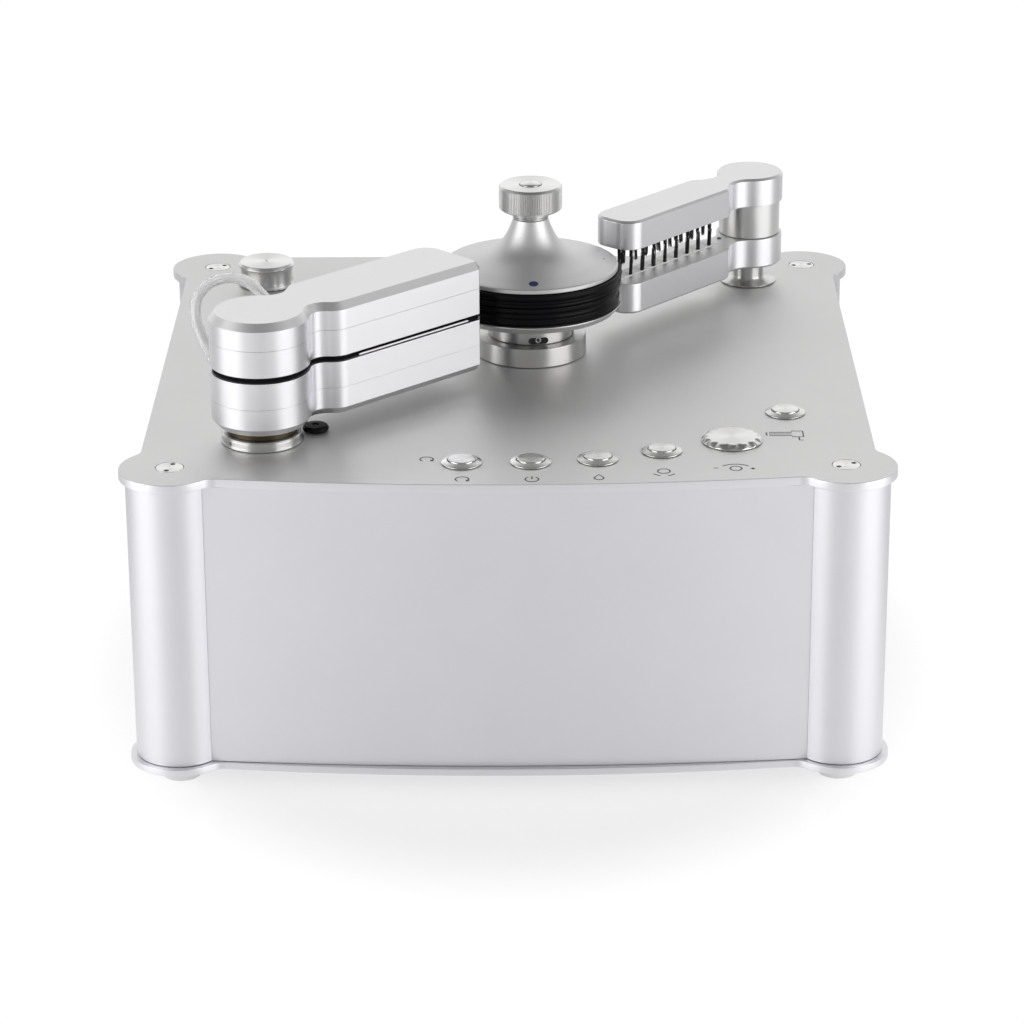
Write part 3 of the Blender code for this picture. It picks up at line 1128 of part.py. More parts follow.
def hose_points():
    """The hose's path from the upper nipple to the lower one, in the arm's own directions."""
    near = HOSE_PORT_LENGTH + SEAT_GAP
    far = near + HOSE_RADIUS + HOSE_RADIUS
    upper = [upper_port()[0] + upper_port()[1] * reach for reach in (near, far)]
    lower = [lower_port()[0] + lower_port()[1] * reach for reach in (far, near)]
    middle = smooth_route([upper[1], *HOSE_ROUTE, lower[0]], HOSE_STEP_COUNT)
    return [upper[0], *middle, lower[1]]


def make_hose(location, heading):
    """Free hose with flat ends."""
    points = hose_points()
    curve = bpy.data.curves.new("suction_hose", "CURVE")
    curve.dimensions = "3D"
    curve.bevel_depth = HOSE_RADIUS
    curve.bevel_resolution = 3
    curve.use_fill_caps = True
    spline = curve.splines.new("POLY")
    spline.points.add(len(points) - 1)
    for knot, point in zip(spline.points, points):
        knot.co = (*point, 1)
    obj = bpy.data.objects.new("suction_hose", curve)
    bpy.context.scene.collection.objects.link(obj)
    obj.location = location
    obj.rotation_euler.z = heading
    curve.materials.append(make_material("suction_hose", CLEAR_HOSE))


def make_brush_base():
    """Dished flange and post on the deck, with the pin that the arm turns on."""
    bottom = -TOP_PLATE_THICKNESS - BRUSH_BARREL_DEPTH
    pin_top = BRUSH_TOP_Z - BRUSH_UPPER_HEIGHT / 3
    bore = BRUSH_PASSAGE_RADIUS
    dish = arc((BRUSH_FLANGE_RADIUS, BRUSH_DISH_HEIGHT + BRUSH_FLANGE_HEIGHT), 1, pi, 3 * pi / 2, 3)
    waist = BRUSH_FLANGE_RADIUS - BRUSH_POST_RADIUS
    flare = [(BRUSH_FLANGE_RADIUS + (u - BRUSH_FLANGE_RADIUS) * waist,
              BRUSH_FLANGE_HEIGHT + BRUSH_DISH_HEIGHT + (v - BRUSH_DISH_HEIGHT - BRUSH_FLANGE_HEIGHT)
              * BRUSH_DISH_HEIGHT) for u, v in reversed(dish)]
    bm = bmesh.new()
    add_turned(bm, [(bore, bottom), (BRUSH_BARREL_RADIUS, bottom), (BRUSH_BARREL_RADIUS, SEAT_GAP),
                    (BRUSH_FLANGE_RADIUS, SEAT_GAP)] + flare
               + [(BRUSH_POST_RADIUS, BRUSH_BASE_HEIGHT), (BRUSH_PIN_RADIUS, BRUSH_BASE_HEIGHT),
                  (BRUSH_PIN_RADIUS, pin_top), (bore, pin_top)], BRUSH_PIVOT + Vector((0, 0, DECK_Z)))
    make_piece("brush_arm_base", bm, POLISHED_STEEL)
    return pin_top


def make_strip_groove(name, front_v, low, high, pivot):
    """Groove in a brush arm for its strip."""
    bm = bmesh.new()
    add_block(bm, (STRIP_START - SEAT_GAP, STRIP_BACK_V - SEAT_GAP, low),
              (brush_length() - STRIP_END_MARGIN + SEAT_GAP, front_v + SEAT_GAP, high))
    return make_tool(name, bm, pivot)


def add_strand(bm, root, reach):
    """One bristle, drawn to a point, that stands up or hangs down from its root."""
    matrix = Matrix.Translation(root) @ Matrix.Diagonal((1, 1, 1 if reach > 0 else -1, 1))
    matrix = matrix @ Matrix.Translation((0, 0, abs(reach) / 2))
    bmesh.ops.create_cone(bm, cap_ends=True, segments=STRAND_SIDES, radius1=STRAND_RADIUS, radius2=0,
                          depth=abs(reach), matrix=matrix)


def make_brush_strip(name, front_v, low, high, rows, root, tip, pivot):
    """Backing strip with rows of tufts, each a small bundle of upright strands."""
    bm = bmesh.new()
    add_block(bm, (STRIP_START, STRIP_BACK_V, low), (brush_length() - STRIP_END_MARGIN, front_v, high))
    strip = make_piece(name, bm, BLACK_VELVET, pivot)
    spacing = (brush_length() - TUFT_END_MARGIN - TUFT_START) / (TUFT_COUNT - 1)
    bm = bmesh.new()
    for row_v, shift, first in rows:
        for tuft in range(first, TUFT_COUNT):
            for line in range(STRAND_ROWS):
                for column in range(STRAND_COLUMNS):
                    u = TUFT_START + shift + tuft * spacing
                    u += (column - (STRAND_COLUMNS - 1) / 2) * STRAND_SPACING
                    v = row_v + (line - (STRAND_ROWS - 1) / 2) * STRAND_SPACING
                    add_strand(bm, (u, v, root), tip - root)
    combine(strip, make_tool(name + "_strands", bm, pivot), "UNION")


def make_brush_arm(pivot, pin_top):
    """Lower arm, spacer and upper arm on one pin, with a brush strip in each arm."""
    lower_top = BRUSH_LOWER_Z + BRUSH_LOWER_HEIGHT
    bore_radius = BRUSH_PIN_RADIUS + SPINDLE_CLEARANCE
    bore = make_bore_tool("brush_pin_bore", disc_profile(bore_radius, BRUSH_LOWER_Z - CUT_OVERRUN,
                                                         pin_top + SEAT_GAP), pivot)
    groove = make_strip_groove("lower_strip_groove", LOWER_STRIP_FRONT_V, lower_top - STRIP_DEPTH - SEAT_GAP,
                               lower_top + CUT_OVERRUN, pivot)
    rings = [lift(brush_outline(BRUSH_CHAMFER), BRUSH_LOWER_Z),
             lift(brush_outline(), BRUSH_LOWER_Z + BRUSH_CHAMFER), lift(brush_outline(), lower_top)]
    make_arm_layer("brush_arm_lower", rings, BRIGHT_ALUMINIUM, pivot,
                   [(bore, "DIFFERENCE"), (groove, "DIFFERENCE")])
    bm = bmesh.new()
    add_turned(bm, ring_profile(bore_radius, BRUSH_SPACER_RADIUS, BRUSH_SPACER_Z,
                                BRUSH_SPACER_Z + BRUSH_SPACER_HEIGHT))
    make_piece("brush_arm_spacer", bm, BRIGHT_ALUMINIUM, pivot)
    groove = make_strip_groove("upper_strip_groove", UPPER_STRIP_FRONT_V, BRUSH_UPPER_Z - CUT_OVERRUN,
                               BRUSH_UPPER_Z + STRIP_DEPTH + SEAT_GAP, pivot)
    rings = [lift(brush_outline(), BRUSH_UPPER_Z), lift(brush_outline(), BRUSH_TOP_Z - BRUSH_CHAMFER),
             lift(brush_outline(BRUSH_CHAMFER), BRUSH_TOP_Z)]
    make_arm_layer("brush_arm_upper", rings, BRIGHT_ALUMINIUM, pivot,
                   [(bore, "DIFFERENCE"), (groove, "DIFFERENCE")])
    strip_low = lower_top - STRIP_DEPTH
    strip_high = lower_top + STRIP_PROUD
    make_brush_strip("lower_brush_strip", LOWER_STRIP_FRONT_V, strip_low, strip_high, [(MAIN_ROW_V, 0, 0)],
                     strip_high - STRAND_ROOT, RECORD_Z - BRISTLE_TIP_GAP, pivot)
    strip_low = BRUSH_UPPER_Z - STRIP_PROUD
    rows = [(MAIN_ROW_V, 0, 0), (FRONT_ROW_V, FRONT_ROW_SHIFT, 1)]
    make_brush_strip("upper_brush_strip", UPPER_STRIP_FRONT_V, strip_low, BRUSH_UPPER_Z + STRIP_DEPTH, rows,
                     strip_low + STRAND_ROOT, RECORD_Z + BRISTLE_TIP_GAP, pivot)


# Controls on the deck
def make_buttons():
    """Five push buttons in bevelled housings, which one bracket joins under the deck."""
    bore = BUTTON_RADIUS + SPINDLE_CLEARANCE
    top = BEZEL_HEIGHT + BUTTON_PROUD
    floor = top - BUTTON_LENGTH - BUTTON_TRAVEL - SEAT_GAP
    bottom = -TOP_PLATE_THICKNESS - HOUSING_DEPTH
    housing = [(0, bottom), (HOUSING_RADIUS, bottom), (HOUSING_RADIUS, SEAT_GAP), (BEZEL_RADIUS, SEAT_GAP),
               (BEZEL_RADIUS, BEZEL_EDGE_HEIGHT), (bore, BEZEL_HEIGHT),
               (bore, floor), (0, floor)]
    cap = [(0, top - BUTTON_LENGTH), (BUTTON_RADIUS, top - BUTTON_LENGTH), (BUTTON_RADIUS, top - BUTTON_EDGE),
           (BUTTON_RADIUS - BUTTON_EDGE, top), (0, top)]
    housings = bmesh.new()
    for name, shares in BUTTON_PLACE_SHARES.items():
        centre = place(shares) + Vector((0, 0, DECK_Z))
        add_turned(housings, housing, centre, SMALL_SIDES)
        bm = bmesh.new()
        add_turned(bm, cap, sides=SMALL_SIDES)
        make_piece(name, bm, POLISHED_STEEL, make_pivot(name + "_axis", centre))
    low = DECK_Z + bottom + BRACKET_RISE
    outline = strip_outline([place(shares) for shares in BUTTON_PLACE_SHARES.values()], BRACKET_WIDTH)
    bm = bmesh.new()
    add_loft(bm, [lift(outline, low), lift(outline, low + BRACKET_THICKNESS)])
    combine(make_piece("button_housings", housings, POLISHED_STEEL), make_tool("button_bracket", bm), "UNION")


def scallop_ring(radius, depth, z):
    """Circle with shallow finger scallops."""
    count = CORNER_STEPS * SPEED_KNOB_SCALLOPS
    points = []
    for i in range(count):
        turn = 2 * pi * i / count
        r = radius - depth * (1 + cos(SPEED_KNOB_SCALLOPS * turn)) / 2
        points.append((r * cos(turn), r * sin(turn), z))
    return points


def make_speed_control():
    """Low scalloped knob with its shaft, and the potentiometer under the deck."""
    centre = place(SPEED_KNOB_SHARES) + Vector((0, 0, DECK_Z))
    pivot = make_pivot("speed_knob_axis", centre)
    low, bevel = SEAT_GAP, SPEED_KNOB_EDGE
    bm = bmesh.new()
    add_loft(bm, [scallop_ring(SPEED_KNOB_RADIUS, 0, low), scallop_ring(SPEED_KNOB_RADIUS, 0, low + bevel),
                  scallop_ring(SPEED_KNOB_TOP_RADIUS + bevel, SPEED_KNOB_SCALLOP_DEPTH,
                               SPEED_KNOB_HEIGHT - bevel / 2),
                  scallop_ring(SPEED_KNOB_TOP_RADIUS, SPEED_KNOB_SCALLOP_DEPTH, SPEED_KNOB_HEIGHT)])
    knob = make_piece("speed_knob", bm, POLISHED_STEEL, pivot)
    shaft_low = -SPEED_SHAFT_LENGTH
    bm = bmesh.new()
    add_rod(bm, (0, 0, shaft_low), (0, 0, SPEED_KNOB_HEIGHT / 2), SPEED_SHAFT_RADIUS, TINY_SIDES)
    combine(knob, make_tool("speed_shaft", bm, pivot), "UNION")
    bore = SPEED_SHAFT_RADIUS + SPINDLE_CLEARANCE
    high = -TOP_PLATE_THICKNESS - SEAT_GAP
    bm = bmesh.new()
    add_turned(bm, [(0, high - POTENTIOMETER_HEIGHT), (POTENTIOMETER_RADIUS, high - POTENTIOMETER_HEIGHT),
                    (POTENTIOMETER_RADIUS, high), (POTENTIOMETER_BUSH_RADIUS, high),
                    (POTENTIOMETER_BUSH_RADIUS, -SEAT_GAP), (bore, -SEAT_GAP),
                    (bore, shaft_low - SEAT_GAP), (0, shaft_low - SEAT_GAP)], centre, SMALL_SIDES)
    make_piece("speed_potentiometer", bm, GREY_METAL)


def make_bumper():
    """Rubber puck that the vacuum arm's stop pin comes to rest against."""
    bm = bmesh.new()
    add_turned(bm, [(0, SEAT_GAP - TOP_PLATE_THICKNESS), (BUMPER_STUD_RADIUS, SEAT_GAP - TOP_PLATE_THICKNESS),
                    (BUMPER_STUD_RADIUS, SEAT_GAP), (BUMPER_RADIUS - BUMPER_EDGE / 2, SEAT_GAP),
                    (BUMPER_RADIUS, BUMPER_EDGE), (BUMPER_RADIUS, BUMPER_HEIGHT - BUMPER_EDGE),
                    (BUMPER_RADIUS - BUMPER_EDGE, BUMPER_HEIGHT), (0, BUMPER_HEIGHT)],
               place(BUMPER_PLACE_SHARES) + Vector((0, 0, DECK_Z)), SMALL_SIDES)
    make_piece("arm_stop_bumper", bm, BLACK_RUBBER)


# Tanks
def tank_footprint():
    """Plan corners shared by both tanks, set so that the neck comes up under the filler cap."""
    low = (FILLER.x - TANK_NECK_MARGIN_X, FILLER.y + TANK_NECK_MARGIN_Y - TANK_LENGTH)
    return low, (low[0] + TANK_WIDTH, low[1] + TANK_LENGTH)


def make_tank(name, low_z, high_z, ports, bores):
    """Hollow tank with walls of one thickness, ports joined on and bores cut through."""
    low, high = tank_footprint()
    outline = rounded_rectangle(low, high, TANK_CORNER, CORNER_STEPS)
    bm = bmesh.new()
    add_loft(bm, [lift(outline, low_z), lift(outline, high_z)])
    tank = make_piece(name, bm, TANK_PLASTIC)
    combine(tank, make_tool(name + "_ports", ports), "UNION")
    inner_low = (low[0] + TANK_WALL, low[1] + TANK_WALL)
    inner_high = (high[0] - TANK_WALL, high[1] - TANK_WALL)
    outline = rounded_rectangle(inner_low, inner_high, TANK_CORNER - TANK_WALL, CORNER_STEPS)
    bm = bmesh.new()
    add_loft(bm, [lift(outline, low_z + TANK_WALL), lift(outline, high_z - TANK_WALL)])
    combine(tank, make_tool(name + "_inside", bm), "DIFFERENCE")
    combine(tank, make_tool(name + "_bores", bores), "DIFFERENCE")


def make_tanks():
    """Waste tank on the case floor with the fluid tank on top of it."""
    low, high = tank_footprint()
    waste_top = COLUMN_Z + WASTE_TANK_HEIGHT
    port_z = suction_port_height()
    drain_z = COLUMN_Z + DRAIN_HEIGHT
    middle_x = (low[0] + high[0]) / 2
    wall_y = high[1] - TANK_WALL / 2
    drain_end = REAR_PANEL_Y + DRAIN_PROUD
    side_y = side_port_y()
    arm_end = CASE_CEILING_Z - VACUUM_BARREL_DEPTH - SEAT_GAP
    across, over = Vector((0, CUT_OVERRUN, 0)), Vector((0, 0, CUT_OVERRUN))
    head = VACUUM_PIVOT + Vector((0, 0, arm_end))
    neck = head - Vector((0, 0, PIPE_STRAIGHT))
    wall = Vector((VACUUM_PIVOT.x, low[1] + TANK_WALL / 2, port_z))
    bend = wall - Vector((0, PIPE_STRAIGHT + TANK_WALL / 2, 0))
    route = pipe_route(head, neck, (neck + bend) / 2, bend, wall)
    ports, bores = bmesh.new(), bmesh.new()
    add_pipe(ports, route, SUCTION_PORT_RADIUS, (1, 0, 0))
    add_pipe(bores, [head + over] + route[:-1] + [wall + across], SUCTION_PORT_BORE, (1, 0, 0))
    add_rod(ports, (high[0] - TANK_WALL / 2, side_y, port_z),
            (high[0] + SUCTION_PORT_LENGTH, side_y, port_z), SUCTION_PORT_RADIUS, TINY_SIDES)
    add_rod(bores, (high[0] - TANK_WALL - CUT_OVERRUN, side_y, port_z),
            (high[0] + SUCTION_PORT_LENGTH + CUT_OVERRUN, side_y, port_z), SUCTION_PORT_BORE, TINY_SIDES)
    add_rod(ports, (middle_x, wall_y, drain_z), (middle_x, drain_end, drain_z), DRAIN_RADIUS)
    add_rod(bores, (middle_x, wall_y - TANK_WALL - CUT_OVERRUN, drain_z),
            (middle_x, drain_end + CUT_OVERRUN, drain_z), DRAIN_BORE_RADIUS)
    make_tank("waste_tank", COLUMN_Z, waste_top, ports, bores)
    fluid_low, fluid_top = waste_top + SEAT_GAP, CASE_CEILING_Z - TANK_HEAD_ROOM
    ports, bores = bmesh.new(), bmesh.new()
    add_rod(ports, (*FILLER.xy, fluid_top - TANK_WALL / 2), (*FILLER.xy, DECK_Z - SEAT_GAP), NECK_RADIUS,
            MEDIUM_SIDES)
    add_rod(bores, (*FILLER.xy, fluid_top - TANK_WALL - CUT_OVERRUN), (*FILLER.xy, DECK_Z + CUT_OVERRUN),
            NECK_BORE_RADIUS, MEDIUM_SIDES)
    make_tank("fluid_tank", fluid_low, fluid_top, ports, bores)
    make_drain_plug((middle_x, drain_end, drain_z))


def suction_port_height():
    """Height of the waste tank's two upper ports."""
    return COLUMN_Z + WASTE_TANK_HEIGHT - TANK_CORNER


def side_port_y():
    """Place along the waste tank of the port that leads to the vacuum pump."""
    low, high = tank_footprint()
    return low[1] + (high[1] - low[1]) / 4


def make_drain_plug(mouth):
    """Plug that closes the waste tank's drain behind the rear panel."""
    pivot = make_pivot("drain_plug_axis", mouth)
    bm = bmesh.new()
    face = SEAT_GAP
    add_rod(bm, (0, face, 0), (0, face + DRAIN_PLUG_HEAD_LENGTH, 0), DRAIN_PLUG_HEAD_RADIUS)
    plug = make_piece("drain_plug", bm, BLACK_PLASTIC, pivot)
    bm = bmesh.new()
    add_rod(bm, (0, -DRAIN_PLUG_STEM_LENGTH, 0), (0, face + DRAIN_PLUG_HEAD_LENGTH / 2, 0),
            DRAIN_BORE_RADIUS - SEAT_GAP)
    combine(plug, make_tool("drain_plug_stem", bm, pivot), "UNION")


def make_filler_cap():
    """Waisted cap over the fluid tank's neck, with a plug that goes down into it."""
    pivot = make_pivot("filler_cap_axis", FILLER + Vector((0, 0, DECK_Z)))
    top, rim = CAP_HEIGHT, CAP_HEIGHT - CAP_RIM_EDGE
    bm = bmesh.new()
    add_turned(bm, [(0, -CAP_PLUG_DEPTH), (CAP_PLUG_RADIUS, -CAP_PLUG_DEPTH), (CAP_PLUG_RADIUS, SEAT_GAP),
                    (CAP_FLARE_RADIUS, SEAT_GAP), (CAP_FLARE_RADIUS, SEAT_GAP + BEZEL_EDGE_HEIGHT),
                    (CAP_WAIST_RADIUS, rim / 3), (CAP_WAIST_RADIUS, rim * 2 / 3),
                    (CAP_RIM_RADIUS, rim), (CAP_RIM_RADIUS - CAP_RIM_EDGE, top),
                    (CAP_DIMPLE_RADIUS, top), (0, top - CAP_DIMPLE_RADIUS)])
    make_piece("filler_cap", bm, POLISHED_STEEL, pivot)


# Works inside the case
def make_vacuum_pump():
    """Fan housing with its motor on top and the pipe from the waste tank."""
    centre = place(PUMP_PLACE_SHARES) + Vector((0, 0, COLUMN_Z))
    shoulder, top = PUMP_HEIGHT, PUMP_HEIGHT + PUMP_MOTOR_HEIGHT
    bm = bmesh.new()
    add_turned(bm, [(0, 0), (PUMP_RADIUS, 0), (PUMP_RADIUS, shoulder - PUMP_EDGE),
                    (PUMP_RADIUS - PUMP_EDGE, shoulder),
                    (PUMP_MOTOR_RADIUS, shoulder), (PUMP_MOTOR_RADIUS, top - PUMP_EDGE),
                    (PUMP_MOTOR_RADIUS - PUMP_EDGE, top), (0, top)], centre)
    pump = make_piece("vacuum_pump", bm, BLACK_PLASTIC)
    low, high = tank_footprint()
    start = centre + Vector((-PUMP_RADIUS / 2, 0, shoulder / 2))
    leave = centre + Vector((-PUMP_RADIUS - PIPE_STRAIGHT, 0, shoulder / 2))
    end = Vector((high[0] + SUCTION_PORT_LENGTH + SEAT_GAP, side_port_y(), suction_port_height()))
    arrive = end + Vector((PIPE_STRAIGHT, 0, 0))
    bm = bmesh.new()
    route = pipe_route(start, leave, (leave + arrive) / 2, arrive, end)
    add_pipe(bm, route, SUCTION_PORT_RADIUS, (0, 0, 1))
    combine(pump, make_tool("vacuum_pipe", bm), "UNION")


def make_fluid_pump():
    """Small pump for the cleaning fluid, with its motor on top and the pipe up to the brush arm."""
    width, length, height = FLUID_PUMP_SIZE
    centre = place(FLUID_PUMP_PLACE_SHARES) + Vector((0, 0, COLUMN_Z))
    bm = bmesh.new()
    add_block(bm, centre + Vector((-width / 2, -length / 2, 0)),
              centre + Vector((width / 2, length / 2, height)))
    pump = make_piece("fluid_pump", bm, BLACK_PLASTIC)
    bm = bmesh.new()
    add_rod(bm, centre + Vector((0, 0, height / 2)),
            centre + Vector((0, 0, height + FLUID_PUMP_MOTOR_HEIGHT)),
            FLUID_PUMP_MOTOR_RADIUS)
    combine(pump, make_tool("fluid_pump_motor", bm), "UNION")
    start = centre + Vector((width / 3, 0, height * 2 / 3))
    leave = start + Vector((width / 2 + PIPE_STRAIGHT, 0, 0))
    end = BRUSH_PIVOT + Vector((0, 0, CASE_CEILING_Z - BRUSH_BARREL_DEPTH - SEAT_GAP))
    arrive = end - Vector((0, 0, PIPE_STRAIGHT))
    middle = Vector(((leave.x + arrive.x) / 2, (leave.y + arrive.y) / 2, leave.z + PIPE_STRAIGHT))
    bm = bmesh.new()
    add_pipe(bm, pipe_route(start, leave, middle, arrive, end), FLUID_PIPE_RADIUS, (0, 1, 0))
    combine(pump, make_tool("fluid_pipe", bm), "UNION")


def make_transformer():
    """Ring transformer on the case floor."""
    edge, height = TRANSFORMER_EDGE, TRANSFORMER_HEIGHT
    bm = bmesh.new()
    add_turned(bm, [(TRANSFORMER_BORE_RADIUS, edge), (TRANSFORMER_BORE_RADIUS + edge, 0),
                    (TRANSFORMER_RADIUS - edge, 0), (TRANSFORMER_RADIUS, edge),
                    (TRANSFORMER_RADIUS, height - edge), (TRANSFORMER_RADIUS - edge, height),
                    (TRANSFORMER_BORE_RADIUS + edge, height), (TRANSFORMER_BORE_RADIUS, height - edge)],
               place(TRANSFORMER_PLACE_SHARES) + Vector((0, 0, COLUMN_Z)))
    make_piece("transformer", bm, WINDING_TAPE)


def make_control_board():
    """Circuit board on four standoffs with its larger components."""
    length, width = BOARD_SIZE
    board_z = COLUMN_Z + STANDOFF_HEIGHT
    centre = place(BOARD_PLACE_SHARES) + Vector((0, 0, board_z))
    top = BOARD_THICKNESS / 2
    bm = bmesh.new()
    add_block(bm, centre - Vector((length / 2, width / 2, 0)),
              centre + Vector((length / 2, width / 2, BOARD_THICKNESS)))
    board = make_piece("control_board", bm, BOARD_GREEN)
    bm = bmesh.new()
    for side_x in (-1, 1):
        for side_y in (-1, 1):
            spot = centre + Vector((side_x * (length / 2 - STANDOFF_MARGIN),
                                    side_y * (width / 2 - STANDOFF_MARGIN), 0))
            add_rod(bm, spot - Vector((0, 0, STANDOFF_HEIGHT)), spot + Vector((0, 0, top)),
                    STANDOFF_RADIUS, TINY_SIDES)
    for share in (-0.3, -0.1):
        spot = centre + Vector((share * length, width / 5, top))
        add_rod(bm, spot, spot + Vector((0, 0, CAPACITOR_HEIGHT)), CAPACITOR_RADIUS)
    for size, shares in zip(BOARD_PART_SIZES, BOARD_PART_SHARES):
        spot = centre + Vector((shares[0] * length, shares[1] * width, top))
        add_block(bm, spot - Vector((size[0] / 2, size[1] / 2, 0)),
                  spot + Vector((size[0] / 2, size[1] / 2, size[2])))
    combine(board, make_tool("board_components", bm), "UNION")


# Rear panel fittings
def inlet_place():
    """Centre of the mains inlet on the outer face of the rear panel."""
    return Vector((INLET_PLACE_SHARE * COLUMN_X, REAR_PANEL_Y, COLUMN_Z + INLET_HEIGHT_SHARE * COLUMN_HEIGHT))


def box_about(centre, width, tall, near_y, far_y):
    """Corners of a box across the rear panel, centred on a point."""
    half = Vector((width / 2, 0, tall / 2))
    return centre - half + Vector((0, near_y, 0)), centre + half + Vector((0, far_y, 0))


def cut_rear_panel(panel):
    """Openings for the inlet and the drain, and a row of vent slots."""
    low, high = tank_footprint()
    bm = bmesh.new()
    add_block(bm, *box_about(inlet_place(), INLET_WIDTH + 2 * SEAT_GAP, INLET_TALL + 2 * SEAT_GAP,
                             -PANEL_THICKNESS - CUT_OVERRUN, CUT_OVERRUN))
    drain = ((low[0] + high[0]) / 2, COLUMN_Z + DRAIN_HEIGHT)
    add_rod(bm, (drain[0], REAR_PANEL_Y - PANEL_THICKNESS - CUT_OVERRUN, drain[1]),
            (drain[0], REAR_PANEL_Y + CUT_OVERRUN, drain[1]), DRAIN_RADIUS + SEAT_GAP)
    for slot in range(VENT_COUNT):
        x = (slot - (VENT_COUNT - 1) / 2) * VENT_SPACING
        centre = Vector((x, REAR_PANEL_Y, COLUMN_Z + VENT_HEIGHT_SHARE * COLUMN_HEIGHT))
        add_block(bm, *box_about(centre, VENT_WIDTH, VENT_TALL, -PANEL_THICKNESS - CUT_OVERRUN, CUT_OVERRUN))
    combine(panel, make_tool("rear_panel_openings", bm), "DIFFERENCE")


def make_mains_inlet():
    """Inlet body with its flange, plug socket, three contacts and the window of the switch."""
    centre = inlet_place()
    face = SEAT_GAP + INLET_FLANGE
    bm = bmesh.new()
    add_block(bm, *box_about(centre, INLET_WIDTH, INLET_TALL, -INLET_DEPTH, face - INLET_FLANGE / 2))
    inlet = make_piece("mains_inlet", bm, BLACK_PLASTIC)
    bm = bmesh.new()
    margin = 2 * INLET_FLANGE_MARGIN
    add_block(bm, *box_about(centre, INLET_WIDTH + margin, INLET_TALL + margin, SEAT_GAP, face))
    combine(inlet, make_tool("inlet_flange", bm), "UNION")
    socket = centre - Vector((0, 0, SOCKET_DROP))
    switch = centre + Vector((0, 0, SWITCH_RISE))
    bm = bmesh.new()
    add_block(bm, *box_about(socket, SOCKET_WIDTH, SOCKET_TALL, face - SOCKET_DEPTH, face + CUT_OVERRUN))
    add_block(bm, *box_about(switch, SWITCH_WIDTH, SWITCH_TALL, face - SWITCH_DEPTH, face + CUT_OVERRUN))
    combine(inlet, make_tool("inlet_recesses", bm), "DIFFERENCE")
    bm = bmesh.new()
    root = face - SOCKET_DEPTH - CUT_OVERRUN
    for x, z in ((-CONTACT_SPACING, -CONTACT_DROP), (0, CONTACT_RISE), (CONTACT_SPACING, -CONTACT_DROP)):
        add_block(bm, *box_about(socket + Vector((x, 0, z)), CONTACT_WIDTH, CONTACT_TALL, root,
                                 face - SOCKET_DEPTH + CONTACT_LENGTH))
    combine(inlet, make_tool("inlet_contacts", bm), "UNION")
    make_rocker(switch + Vector((0, face, 0)))


def make_rocker(window):
    """Switch rocker: a shallow V in front and a round back, so that it tilts inside its window."""
    radius = SWITCH_TALL / 2 - ROCKER_CLEARANCE
    pivot = make_pivot("mains_rocker_axis", window - Vector((0, radius / 3, 0)))
    front = radians(35)
    back = [(radius * cos(a), radius * sin(a)) for a in
            np.linspace(pi / 2 - front + ROCKER_TILT, 3 * pi / 2 + front + ROCKER_TILT,
                        ROCKER_BACK_STEPS + 1)]
    profile = back + [(radius / 3 * cos(ROCKER_TILT), radius / 3 * sin(ROCKER_TILT))]
    half = SWITCH_WIDTH / 2 - ROCKER_CLEARANCE
    bm = bmesh.new()
    add_loft(bm, [[(x, y, z) for y, z in profile] for x in (-half, half)])
    make_piece("mains_rocker", bm, BLACK_PLASTIC, pivot)


def clear_scene():
    """Starts from an empty scene."""
    for obj in list(bpy.data.objects):
        bpy.data.objects.remove(obj, do_unlink=True)


def main():
    """Builds the whole machine."""
    clear_scene()
    deck = Vector((0, 0, DECK_Z))
    make_top_plate()
    make_bottom_plate()
    rear_panel = make_panels_and_columns()
    make_feet()
    make_bearing_housing()
    platter_pivot = make_pivot("platter_axis", PLATTER + deck)
    motor_pivot = make_pivot("motor_axis", PLATTER + deck + Vector((0, PULLEY_SPACING, 0)))
    make_platter(platter_pivot)
    make_belt_drive(platter_pivot, motor_pivot)
    make_clamp(platter_pivot)
    make_clamp_knob(platter_pivot)
    make_vacuum_base()
    heading = angle_to(VACUUM_PIVOT, PLATTER) + VACUUM_ARM_TOE
    vacuum_pivot = make_pivot("vacuum_arm_axis", VACUUM_PIVOT + deck, heading)
    make_vacuum_lower_arm(vacuum_pivot, heading)
    make_vacuum_upper_arm(vacuum_pivot)
    make_hose(VACUUM_PIVOT + deck, heading)
    pin_top = make_brush_base()
    heading = angle_to(BRUSH_PIVOT, PLATTER) + BRUSH_ARM_TOE
    make_brush_arm(make_pivot("brush_arm_axis", BRUSH_PIVOT + deck, heading), pin_top)
    make_buttons()
    make_speed_control()
    make_bumper()
    make_tanks()
    make_filler_cap()
    make_vacuum_pump()
    make_fluid_pump()
    make_transformer()
    make_control_board()
    cut_rear_panel(rear_panel)
    make_mains_inlet()
    bpy.context.view_layer.update()


main()
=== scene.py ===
"""Looks of the record cleaning machine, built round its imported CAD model.

Metres, +Z up, in the frame of the CAD model: the front of the machine faces -Y.
"""
import json
import random
from math import asin, atan2, cos, hypot, pi, radians, sin, sqrt

import bmesh
import bpy
import numpy as np
from mathutils import Matrix, Vector

